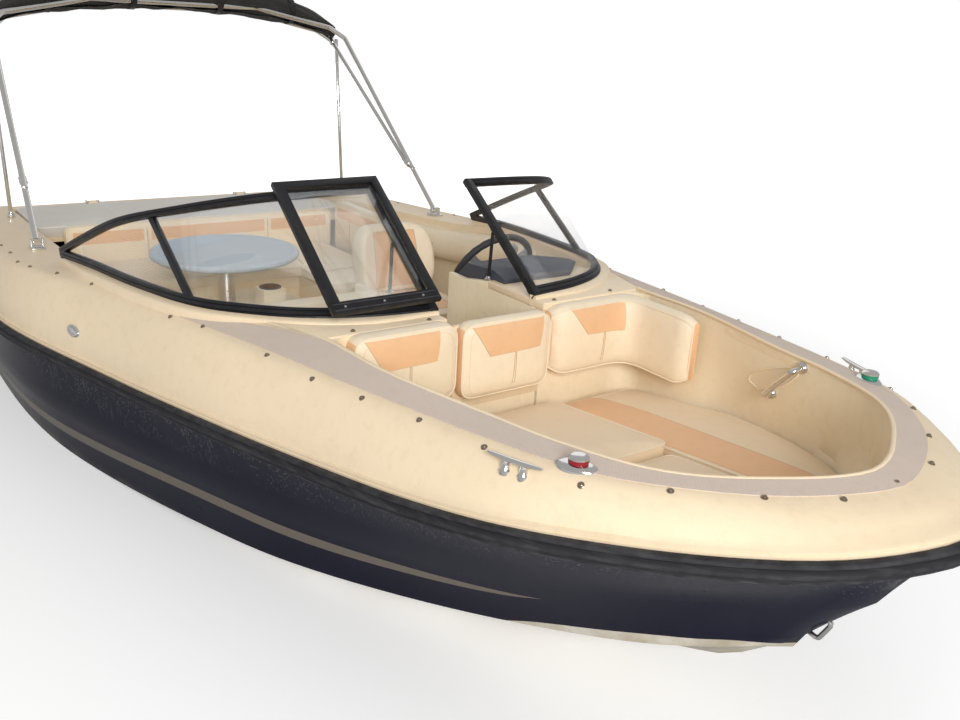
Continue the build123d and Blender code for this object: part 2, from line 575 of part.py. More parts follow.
holder = box(CUP_X - 50, CUP_X + 50, CUP_Y - 50, CUP_Y + 50, FLOOR_TOP, CUP_TOP)
save(holder - Pos(CUP_X, CUP_Y, CUP_TOP - 40) * Cylinder(CUP_R, 120), "cup_holder_box")
THROTTLE_X, THROTTLE_Z = 240.0, 600.0
thr_y = table(INNER, THROTTLE_X)[0] - 64
throttle_box = box(THROTTLE_X - 50, THROTTLE_X + 50, thr_y - 30, thr_y + 90, THROTTLE_Z - 40, THROTTLE_Z + 40)
pivot_bore = Pos(THROTTLE_X, thr_y - 30, THROTTLE_Z) * Rot(90, 0, 0) * Cylinder(8.3, 30)
throttle_box = throttle_box - bolsters - liner_sides - pivot_bore
save(throttle_box.solids().sort_by(Axis.Y)[0], "throttle_box")
lever = rod((THROTTLE_X, thr_y - 48, THROTTLE_Z), (THROTTLE_X + 35, thr_y - 48, THROTTLE_Z + 135), 14).fuse(
    turned((THROTTLE_X, thr_y - 56, THROTTLE_Z), (0, 1, 0), [(22, 0), (22, 20)], 14),
    Pos(THROTTLE_X, thr_y - 32, THROTTLE_Z) * Rot(90, 0, 0) * Cylinder(8, 24),
    ruled(round_rows(Plane((THROTTLE_X + 35, thr_y - 48, THROTTLE_Z + 140)),
                     [(9, -20), (19, -9), (19, 9), (9, 20)], 10)))
save(lever, "throttle_lever")

# swim platform, drive and engine
plat = plate([(-2100.3, -1010), (-2480, -1010), (-2600, -900), (PLATFORM_END_X, -700),
              (PLATFORM_END_X, 700), (-2600, 900), (-2480, 1010), (-2100.3, 1010)],
             PLATFORM_Z - PLATFORM_T, PLATFORM_Z)
save(plat, "swim_platform")
tx, tz = TILT_AXIS
shield = box(-2150, -2100.4, -150, 150, -240, 250)
for z0, z1 in ((205, 230), (-192, -167)):
    shield = shield.fuse(box(-2210, -2145, -36, 36, z0, z1))
save(shield - Pos(STEER_X, 0, 20) * Cylinder(14.3, 600), "transom_shield")
bracket = turned((STEER_X, 0, -160), (0, 0, 1), [(28, 0), (28, 360)], 14).fuse(
    box(-2240, -2187, -26, 26, -120, 170), box(-2240, -2216, -96, 96, 82, 162),
    box(-2312, -2218, 76, 96, 76, 144), box(-2312, -2218, -96, -76, 76, 144),
    Pos(STEER_X, 0, 20) * Cylinder(14, 408)) - Pos(tx, 0, tz) * Rot(90, 0, 0) * Cylinder(12.3, 300)
save(bracket, "steering_bracket")
GEARCASE = [(152, -478), (62, -500), (62, -620), (112, -640), (92, -810), (152, -810), (212, -650),
            (292, -612), (302, -520), (252, -478)]
drive = prism_y([(-2272, 76), (-2272, 146), (-2330, 190), (-2400, 186), (-2520, 120), (-2525, -40),
                 (-2510, -330), (SHAFT_X - 68, -338), (SHAFT_X - 68, -350), (-2510, -350)]
                + [(SHAFT_X + x, z) for x, z in GEARCASE]
                + [(-2390, -345), (-2325, -320), (-2292, -60)], -32, 32)
torpedo = turned((SHAFT_X + 62, 0, SHAFT_Z), (1, 0, 0), [(46, 0), (52, 60), (52, 190), (24, 240)], 14)
cavitation = box(SHAFT_X - 73, -2350, -115, 115, -352, -340)
head = prism_y([(-2272, 76), (-2272, 146), (-2330, 186), (-2400, 182), (-2516, 120), (-2520, 0), (-2300, 0)],
               -69, 69)
shaft = Pos(SHAFT_X + 17, 0, SHAFT_Z) * Rot(0, 90, 0) * Cylinder(15, 110)
tilt_pin = Pos(tx, 0, tz) * Rot(90, 0, 0) * Cylinder(12, 186)
drive_leg = drive.fuse(torpedo, cavitation, head, shaft, tilt_pin)
save(drive_leg, "drive_leg")
blade_rows = []
for a in (0, 120, 240):
    blade = Pos(SHAFT_X, 0, SHAFT_Z) * Rot(a, 0, 0) * Pos(0, 0, 105) * Rot(0, 0, 28) * Box(12, 92, 146)
    blade_rows.append(blade)
hub = turned((SHAFT_X - 54, 0, SHAFT_Z), (1, 0, 0), [(38, 0), (46, 40), (46, 108)], 16)
shaft_bore = Pos(SHAFT_X, 0, SHAFT_Z) * Rot(0, 90, 0) * Cylinder(15.3, 200)
save(hub.fuse(*blade_rows) - shaft_bore, "propeller")
save(box(-2010, -1508, -330, 330, -180, 440), "engine_block")

# bimini frame, lying back against its struts
HINGE_X, HINGE_Y, HINGE_Z, PIVOT_Z = -725.0, 955.0, 674.0, 704.0
mounts = []
for side in (1, -1):
    z0 = HINGE_Z
    base = box(HINGE_X - 34, HINGE_X + 34, side * HINGE_Y - 26, side * HINGE_Y + 26, z0 - 10, z0 + 10)
    ears = box(HINGE_X - 10, HINGE_X + 10, side * HINGE_Y - 24, side * HINGE_Y - 19, z0 + 6, z0 + 42).fuse(
        box(HINGE_X - 10, HINGE_X + 10, side * HINGE_Y + 19, side * HINGE_Y + 24, z0 + 6, z0 + 42))
    ears = ears - Pos(HINGE_X, side * HINGE_Y, PIVOT_Z) * Rot(90, 0, 0) * Cylinder(5.3, 80)
    socket = ruled(round_rows(Plane((-1640, side * 893, 618)), [(17, 0), (17, 27)], 12)) - deck
    mounts += [base.fuse(ears) - deck, socket]
save(Compound(children=mounts), "bimini_mounts")


def bow(points, d=TUBE_D, bend=40):
    half = [(x, -y, z) for x, y, z in points]
    return pipe(half + [(x, y, z) for x, y, z in points[::-1]], d, bend)


main_bow = bow([(HINGE_X - 8, HINGE_Y, 706), (-1610, 895, 1511), (-1664, 825, 1562), (-1708, 420, 1642)])
for side in (-1, 1):
    main_bow = main_bow.fuse(
        box(HINGE_X - 16, HINGE_X + 12, side * HINGE_Y - 12, side * HINGE_Y + 12, 692, 718),
        Pos(HINGE_X, side * HINGE_Y, PIVOT_Z) * Rot(90, 0, 0) * Cylinder(5, 46))
STRUT_TOP = (-1715.0, 895.0, 1490.0)
second = bow([(-1003, 935, 922), (-1715, 868, 1490), (-1771, 800, 1541), (-1815, 420, 1620)], 22.0)
for side in (-1, 1):
    second = second.fuse(
        rod((-922, side * 941, 886), (-1018, side * 934, 929), 24),
        pin((STRUT_TOP[0], side * 856, STRUT_TOP[2]), (STRUT_TOP[0], side * 906, STRUT_TOP[2]), 8))
second = second - main_bow
save(Compound(children=[main_bow, second.solids().sort_by(SortBy.VOLUME)[-1]]), "bimini_bows")
ROLL = [(-1722, 815, 1566, 2.2), (-1750, 640, 1606, 3.0), (-1766, 330, 1644, 3.4), (-1770, 0, 1656, 3.55)]
ROLL = [(x, y, z, thick * TUBE_D) for x, y, z, thick in ROLL]
rows = [(x, -y, z, h) for x, y, z, h in ROLL[:-1]] + ROLL[::-1]
canvas = ruled([[Vector(x + 1.15 * h * math.cos(math.radians(a)), y, z + h * math.sin(math.radians(a)))
                 for a in range(0, 360, 45)] for x, y, z, h in rows]) - main_bow - second
save(canvas, "bimini_canvas")
struts = []
for side in (1, -1):
    tube = rod((-1642, side * 893, 646.2), (-1715.9, side * STRUT_TOP[1], 1501), 19)
    eye = Pos(STRUT_TOP[0], side * STRUT_TOP[1], STRUT_TOP[2]) * Rot(90, 0, 0) * Cylinder(4.3, 60)
    struts.append(tube - eye)
save(Compound(children=struts), "bimini_struts")

# fittings


def cleat(x, y, z, turn):
    horn = Box(130, 18, 12).fuse(Pos(22, 0, -16) * Box(16, 16, 34), Pos(-22, 0, -16) * Box(16, 16, 34))
    return (Pos(x, y, z) * Rot(0, 0, turn) * horn - deck).solids().sort_by(SortBy.VOLUME)[-1]


feet, cleats, grips = [], [], []
for side, tag in ((1, "port"), (-1, "starboard")):
    foot_plane = Plane((2052, side * 505, 776)).rotated((0, 0, side * -28))
    foot = ruled([[foot_plane.from_local_coords(Vector(k * math.cos(a * math.pi / 7) * 52,
                                                       k * math.sin(a * math.pi / 7) * 29, h))
                   for a in range(14)] for k, h in ((1.0, 0), (1.0, 20), (0.86, 28))])
    lens = turned((2056, side * 503, 804.3), (0, 0, 1), [(24, 0), (24, 12), (14, 20)])
    feet.append(foot - deck - strip)
    save(lens, "nav_lens_" + tag)
    cleats += [cleat(1965, side * 592, 790, side * -20), cleat(-1930, side * 960, 634, 0)]
    grip = pipe([(1660, side * 500, 668), (1664, side * 462, 674), (1836, side * 446, 722),
                 (1840, side * 486, 716)], 18, 14) - liner
    grips.append(grip.solids().sort_by(SortBy.VOLUME)[-1])
save(Compound(children=feet), "nav_light_bases")
save(Compound(children=cleats), "cleats")
save(Compound(children=grips), "bow_grab_handles")
eye = pipe([(2290, 0, 380), (2345, 0, 372), (2372, 0, 428), (2330, 0, 440)], 12, 10) - hull
save(eye.solids().sort_by(SortBy.VOLUME)[-1], "bow_eye")
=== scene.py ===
"""Open-bow runabout with a walk-through windshield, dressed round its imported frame.

Metres, +X bow, +Y the helm side, +Z up, origin on the waterline amidships.
"""
from __future__ import annotations

import json
import logging
import math
from dataclasses import dataclass
from enum import Enum
from typing import Callable, Sequence

import bpy
from mathutils import Matrix, Vector
from mathutils.bvhtree import BVHTree

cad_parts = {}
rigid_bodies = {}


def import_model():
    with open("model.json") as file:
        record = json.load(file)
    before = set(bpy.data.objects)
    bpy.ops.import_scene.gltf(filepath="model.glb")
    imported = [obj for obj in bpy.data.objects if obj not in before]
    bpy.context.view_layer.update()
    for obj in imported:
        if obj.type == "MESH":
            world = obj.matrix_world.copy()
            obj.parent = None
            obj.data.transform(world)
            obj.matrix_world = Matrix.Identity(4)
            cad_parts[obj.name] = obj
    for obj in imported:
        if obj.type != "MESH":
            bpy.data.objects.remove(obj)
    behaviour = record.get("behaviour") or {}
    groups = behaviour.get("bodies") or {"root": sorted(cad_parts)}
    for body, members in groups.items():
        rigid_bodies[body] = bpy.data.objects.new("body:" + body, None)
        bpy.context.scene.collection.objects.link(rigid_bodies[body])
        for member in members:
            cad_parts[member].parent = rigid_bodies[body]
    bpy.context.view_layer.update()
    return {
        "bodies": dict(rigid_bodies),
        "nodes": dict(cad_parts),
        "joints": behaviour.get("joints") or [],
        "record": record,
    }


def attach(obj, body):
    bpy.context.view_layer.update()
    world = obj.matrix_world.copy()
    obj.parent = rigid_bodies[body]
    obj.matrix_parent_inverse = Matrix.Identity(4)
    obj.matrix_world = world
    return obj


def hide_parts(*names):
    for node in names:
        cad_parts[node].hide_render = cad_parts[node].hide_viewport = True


LOG = logging.getLogger("runabout")
Point = Sequence[float]
Row = list[Vector]
Piece = bpy.types.Object
UP, DOWN, AFT = (0, 0, 1), (0, 0, -1), (-1, 0, 0)
SIDES = ((1, "port"), (-1, "starboard"))
MERGE = 2e-5  # vertices closer than this are one
SHARP = 30.0  # degrees over which an edge is rounded
PANEL = .0016  # how far a sewn panel stands up
RAY_BACK, RAY_REACH = .25, 2.0  # where a press on to a surface starts and how far it looks
SEAM_STEP = .02  # spacing of the points of a seam
BLEACH, LIFT = 1.12, .015  # a tone in the sun is this many times and this much paler
SOIL = (.8, .75, .68)  # a soiled tone's share of red, green and blue


class Body(str, Enum):
    """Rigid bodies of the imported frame."""

    BOAT = "boat"
    BOW_DOOR = "bow_door"
    SCREEN_DOOR = "windshield_door"
    WHEEL = "steering_wheel"
    THROTTLE = "throttle"
    SEAT = "helm_seat"
    LID = "engine_lid"
    BRACKET = "drive_bracket"
    DRIVE = "drive"
    PROPELLER = "propeller"
    BIMINI = "bimini"
    STRUTS = "bimini_struts"


def clear() -> None:
    """Leaves edit mode and deselects everything."""
    if bpy.context.object and bpy.context.object.mode != "OBJECT":
        bpy.ops.object.mode_set(mode="OBJECT")
    bpy.ops.object.select_all(action="DESELECT")


def pick(obj: Piece) -> Piece:
    """Makes obj the only selected and active object.

    Args:
        obj: the piece.

    Returns:
        The same piece.
    """
    clear()
    obj.select_set(True)
    bpy.context.view_layer.objects.active = obj
    return obj


def modify(obj: Piece, kind: str, **settings: object) -> Piece:
    """Adds one modifier and applies it.

    Args:
        obj: the piece.
        kind: Blender's modifier type.
        **settings: the modifier's fields.

    Returns:
        The same piece.
    """
    pick(obj)
    step = obj.modifiers.new(kind.title(), kind)
    for key, value in settings.items():
        setattr(step, key, value)
    bpy.ops.object.modifier_apply(modifier=step.name)
    return obj


def mend(obj: Piece, fill: bool = False) -> Piece:
    """Merges doubles, closes holes if asked, and points the faces outward.

    Args:
        obj: the piece.
        fill: whether open rims are closed with a face.

    Returns:
        The same piece.
    """
    pick(obj)
    bpy.ops.object.mode_set(mode="EDIT")
    bpy.ops.mesh.select_all(action="SELECT")
    bpy.ops.mesh.remove_doubles(threshold=MERGE)
    if fill:
        bpy.ops.mesh.select_all(action="SELECT")
        bpy.ops.mesh.fill_holes(sides=0)
    bpy.ops.mesh.select_all(action="SELECT")
    bpy.ops.mesh.normals_make_consistent(inside=False)
    bpy.ops.object.mode_set(mode="OBJECT")
    return obj


def smooth(obj: Piece, degrees: float = 38.0) -> Piece:
    """Shades faces smoothly across edges flatter than the angle.

    Args:
        obj: the piece.
        degrees: the angle.

    Returns:
        The same piece.
    """
    pick(obj)
    bpy.ops.object.shade_smooth_by_angle(angle=math.radians(degrees))
    return obj


def ease(obj: Piece, width: float, segments: int = 2) -> Piece:
    """Rounds the sharp edges of a piece and shades it smooth.

    Args:
        obj: the piece.
        width: edge radius.
        segments: steps of each rounded edge.

    Returns:
        The same piece.
    """
    modify(obj, "BEVEL", width=width, segments=segments, limit_method="ANGLE",
           angle_limit=math.radians(SHARP), use_clamp_overlap=True)
    return smooth(obj)


def join(name: str, parts: Sequence[Piece]) -> Piece:
    """Joins pieces into one object.

    Args:
        name: the joined piece's name.
        parts: pieces to join.

    Returns:
        The joined piece.
    """
    clear()
    for part in parts:
        part.select_set(True)
    bpy.context.view_layer.objects.active = parts[0]
    if len(parts) > 1:
        bpy.ops.object.join()
    parts[0].name = name
    parts[0].data.name = name
    return parts[0]


def skin(name: str, rows: Sequence[Row], closed: bool = False, caps: bool = False) -> Piece:
    """Draws a grid primitive through rows of points.

    Args:
        name: the piece's name.
        rows: rows of equally many points.
        closed: whether each row is a closed section.
        caps: whether open rims are filled.

    Returns:
        The new piece, its doubles merged.
    """
    clear()
    if closed:
        rows = [list(row) + [row[0]] for row in rows]
    across, along = len(rows[0]) - 1, len(rows) - 1
    bpy.ops.mesh.primitive_grid_add(x_subdivisions=across, y_subdivisions=along, size=1.0)
    obj = bpy.context.object
    obj.name = obj.data.name = name
    for vertex in obj.data.vertices:
        i = round((vertex.co.x + .5) * across)
        j = round((vertex.co.y + .5) * along)
        vertex.co = rows[j][i]
    return mend(obj, fill=caps)


def prism(name: str, outline: Sequence[Vector], along: Vector, bevel: float = .002,
          segments: int = 2) -> Piece:
    """Extrudes a flat outline and rounds its edges.

    Args:
        name: the piece's name.
        outline: corners in order.
        along: the extrusion.
        bevel: edge radius, 0 for sharp edges.
        segments: steps of each rounded edge.

    Returns:
        The new piece.
    """
    obj = skin(name, [list(outline), [p + along for p in outline]], closed=True, caps=True)
    return ease(obj, bevel, segments) if bevel else smooth(obj)


def block(name: str, low: Point, high: Point, bevel: float = .002, segments: int = 2) -> Piece:
    """Makes a box between two corners with rounded edges.

    Args:
        name: the piece's name.
        low: its lowest corner.
        high: its highest corner.
        bevel: edge radius.
        segments: steps of each rounded edge.

    Returns:
        The new piece.
    """
    (x0, y0, z0), (x1, y1, z1) = low, high
    outline = [Vector((x, y, z0)) for x, y in ((x0, y0), (x1, y0), (x1, y1), (x0, y1))]
    return prism(name, outline, Vector((0, 0, z1 - z0)), bevel, segments)


def solid(name: str, rows: Sequence[Row], degrees: float = 38.0) -> Piece:
    """Closed, capped and smoothed body through closed sections."""
    return smooth(skin(name, rows, closed=True, caps=True), degrees)


def around(count: int) -> list[float]:
    """Angles of a full turn in equal steps."""
    return [2 * math.pi * k / count for k in range(count)]


def lathe(name: str, profile: Sequence[tuple[float, float]], centre: Point, axis: Point = (0, 0, 1),
          sides: int = 48) -> Piece:
    """Turns a profile of (radius, height) about an axis.

    Args:
        name: the piece's name.
        profile: radii and heights from one end to the other.
        centre: where height 0 lies on the axis.
        axis: direction of the axis.
        sides: steps round the axis.

    Returns:
        The turned piece, closed at both ends.
    """
    turn = Vector(axis).normalized().to_track_quat("Z", "Y").to_matrix()
    rows = [[Vector(centre) + turn @ Vector((radius * math.cos(a), radius * math.sin(a), height))
             for a in around(sides)] for radius, height in profile]
    return solid(name, rows)


def eased_path(points: Sequence[Point], bend: float, closed: bool = False, steps: int = 6) -> Row:
    """Rounds the corners of a polyline with arcs.

    Args:
        points: corners.
        bend: radius of each corner.
        closed: whether the last point joins the first.
        steps: chords in each arc.

    Returns:
        Points of the eased line.
    """
    corners = [Vector(p) for p in points]
    count = len(corners)
    path: Row = [] if closed else [corners[0]]
    for k in range(count):
        if not closed and k in (0, count - 1):
            continue
        before, corner, after = corners[k - 1], corners[k], corners[(k + 1) % count]
        u, v = (before - corner).normalized(), (after - corner).normalized()
        half = max(.05, math.acos(max(-1.0, min(1.0, u.dot(v)))) / 2)
        reach = min(bend / math.tan(half), .46 * (before - corner).length, .46 * (after - corner).length)
        start, end = corner + u * reach, corner + v * reach
        for step in range(steps + 1):
            t = step / steps
            path.append(start.lerp(corner, t).lerp(corner.lerp(end, t), t))
    if not closed:
        path.append(corners[-1])
    return path


def tube(name: str, points: Sequence[Point], diameter: float, bend: float = 0.0, closed: bool = False,
         sides: int = 3) -> Piece:
    """Sweeps a round section along a line.

    Args:
        name: the piece's name.
        points: the line's points.
        diameter: diameter of the section.
        bend: radius of the corners.
        closed: whether the line is a loop.
        sides: curve bevel resolution.

    Returns:
        The tube as a closed mesh.
    """
    clear()
    path = eased_path(points, bend, closed) if bend else [Vector(p) for p in points]
    curve = bpy.data.curves.new(name, "CURVE")
    curve.dimensions = "3D"
    curve.bevel_depth = diameter / 2
    curve.bevel_resolution = sides
    curve.use_fill_caps = True
    line = curve.splines.new("POLY")
    line.points.add(len(path) - 1)
    for point, place in zip(line.points, path):
        point.co = (*place, 1.0)
    line.use_cyclic_u = closed
    obj = bpy.data.objects.new(name, curve)
    bpy.context.collection.objects.link(obj)
    pick(obj)
    bpy.ops.object.convert(target="MESH")
    obj = bpy.context.object
    obj.name = obj.data.name = name
    return smooth(mend(obj), 60.0)


def resampled(outline: Sequence[Vector], radius: float, per_edge: int = 10, per_corner: int = 5) -> Row:
    """Spreads points along a closed outline with rounded corners, equally many for equal corners.

    Args:
        outline: the corners.
        radius: radius of each corner.
        per_edge: points on each edge.
        per_corner: points in each corner.

    Returns:
        Points of the rounded outline.
    """
    eased = eased_path(outline, radius, closed=True, steps=per_corner)
    row: Row = []
    count = len(outline)
    for k in range(count):
        arc = eased[k * (per_corner + 1):(k + 1) * (per_corner + 1)]
        nxt = eased[((k + 1) % count) * (per_corner + 1)]
        row += arc
        row += [arc[-1].lerp(nxt, (s + 1) / (per_edge + 1)) for s in range(per_edge)]
    return row


def plump(name: str, base: Sequence[Vector], rim: Sequence[Vector], crown: Vector, radius: float = .03,
          swell: float = .008, roll: float = .02) -> Piece:
    """Builds a stuffed pad between a base outline and a rim outline, crowned past the rim.

    Args:
        name: the piece's name.
        base: corners of the side that rests on something.
        rim: corners of the seam round the face, as many as the base has.
        crown: how far and which way the middle of the face stands past its seam.
        radius: radius of the outline's corners.
        swell: how far the sides bulge.
        roll: how far inside the seam the face is fully rounded.

    Returns:
        The closed pad.
    """
    low, high = resampled(base, radius), resampled(rim, radius)
    middle = sum(high, Vector()) / len(high)
    foot = sum(low, Vector()) / len(low)
    rows: list[Row] = [[foot.lerp(p, s) for p in low] for s in (0.0, .5, .97)]
    for step in range(7):
        t = step / 6
        ring = []
        for p, q in zip(low, high):
            place = p.lerp(q, t)
            out = q - middle
            out -= crown.normalized() * out.dot(crown.normalized())
            ring.append(place + out.normalized() * swell * math.sin(math.pi * t))
        rows.append(ring)
    reach = max((q - middle).length for q in high)
    levels = [roll * .25 / reach, roll * .7 / reach, .12, .22, .36, .52, .68, .84, 1.0]
    for inset in levels:
        rise = (1 - (1 - inset) ** 4) ** .75
        rows.append([q.lerp(middle, inset) + crown * rise for q in high])
    return smooth(skin(name, rows, closed=True), 50.0)


def surface_of(obj: Piece) -> BVHTree:
    """Search tree of a piece's faces."""
    depsgraph = bpy.context.evaluated_depsgraph_get()
    return BVHTree.FromObject(obj, depsgraph)


def cast(tree: BVHTree, place: Vector, way: Vector) -> Vector:
    """Carries a point along a direction until it meets a surface.

    Args:
        tree: the surface.
        place: the point.
        way: the direction.

    Returns:
        The point on the surface, or the point itself where nothing is met.
    """
    way = way.normalized()
    found, *_ = tree.ray_cast(place - way * RAY_BACK, way, RAY_REACH)
    return found if found is not None else place


def patch(name: str, target: Piece, corners: Sequence[Point], way: Point, lift: float = .0012,
          nx: int = 14, ny: int = 14) -> Piece:
    """Lays a thin panel on a surface inside four corners.

    Args:
        name: the piece's name.
        target: the piece that it lies on.
        corners: four corners in order.
        way: direction in which the corners are pressed on to the surface.
        lift: thickness of the panel.
        nx: steps along the first side.
        ny: steps along the second side.

    Returns:
        The panel.
    """
    tree = surface_of(target)
    a, b, c, d = (Vector(p) for p in corners)
    press = Vector(way).normalized()
    rows = []
    for j in range(ny + 1):
        left, right = a.lerp(d, j / ny), b.lerp(c, j / ny)
        rows.append([cast(tree, left.lerp(right, i / nx), press) - press * (lift * .6) for i in range(nx + 1)])
    obj = skin(name, rows)
    modify(obj, "SOLIDIFY", thickness=lift * 1.6, offset=0.0)
    return smooth(mend(obj), 40.0)


def seam(name: str, target: Piece, points: Sequence[Point], way: Point, diameter: float,
         closed: bool = False) -> Piece:
    """Lays a piping or seam line on a surface.

    Args:
        name: the piece's name.
        target: the piece that it lies on.
        points: the line before it is pressed on to the surface.
        way: direction of the press.
        diameter: thickness of the line.
        closed: whether it is a loop.

    Returns:
        The line as a mesh tube.
    """
    tree = surface_of(target)
    press = Vector(way).normalized()
    corners = [Vector(p) for p in points]
    pairs = list(zip(corners, corners[1:] + (corners[:1] if closed else [])))
    path: Row = []
    for a, b in pairs:
        count = max(1, round((b - a).length / SEAM_STEP))
        path += [a.lerp(b, k / count) for k in range(count)]
    if not closed:
        path.append(corners[-1])
    path = [cast(tree, p, press) - press * (diameter * .12) for p in path]
    return tube(name, path, diameter, closed=closed, sides=2)


class Wiring:
    """Shorthand for drawing one node tree."""

    def __init__(self, tree: bpy.types.NodeTree) -> None:
        """Keeps the tree."""
        self.tree = tree

    def link(self, source: bpy.types.NodeSocket, target: bpy.types.NodeSocket) -> None:
        """Links an output to an input."""
        self.tree.links.new(source, target)

    def add(self, kind: str, inputs: dict | None = None, **settings: object) -> bpy.types.Node:
        """Adds a shader node.

        Args:
            kind: node type without its ShaderNode prefix.
            inputs: values or sockets by input name or number.
            **settings: the node's own fields.

        Returns:
            The node.
        """
        node = self.tree.nodes.new("ShaderNode" + kind)
        for key, value in settings.items():
            setattr(node, key, value)
        for key, value in (inputs or {}).items():
            if isinstance(value, bpy.types.NodeSocket):
                self.link(value, node.inputs[key])
            else:
                node.inputs[key].default_value = value
        return node

    def math(self, operation: str, *values: object) -> bpy.types.NodeSocket:
        """Adds a math node and returns its output."""
        return self.add("Math", dict(enumerate(values)), operation=operation).outputs[0]

    def ramp(self, value: bpy.types.NodeSocket, low: float, high: float, start: float = 0.0,
             end: float = 1.0) -> bpy.types.NodeSocket:
        """Maps a value between two levels, clamped."""
        return self.add("MapRange", {"Value": value, "From Min": low, "From Max": high, "To Min": start,
                                     "To Max": end}).outputs["Result"]

    def blend(self, factor: object, first: object, second: object) -> bpy.types.NodeSocket:
        """Mixes two colours by a factor.

        Args:
            factor: share of the second colour.
            first: colour or socket.
            second: colour or socket.

        Returns:
            The mixed colour.
        """
        node = self.add("Mix", {"Factor": factor}, data_type="RGBA")
        for socket, value in ((node.inputs[6], first), (node.inputs[7], second)):
            if isinstance(value, bpy.types.NodeSocket):
                self.link(value, socket)
            else:
                socket.default_value = (*value[:3], 1.0)
        return node.outputs[2]

    def place(self, scale: Point = (1, 1, 1), turn: Point = (0, 0, 0)) -> bpy.types.NodeSocket:
        """Object coordinates, scaled and turned."""
        coordinates = self.add("TexCoord").outputs["Object"]
        return self.add("Mapping", {"Vector": coordinates, "Scale": scale, "Rotation": turn}).outputs[0]


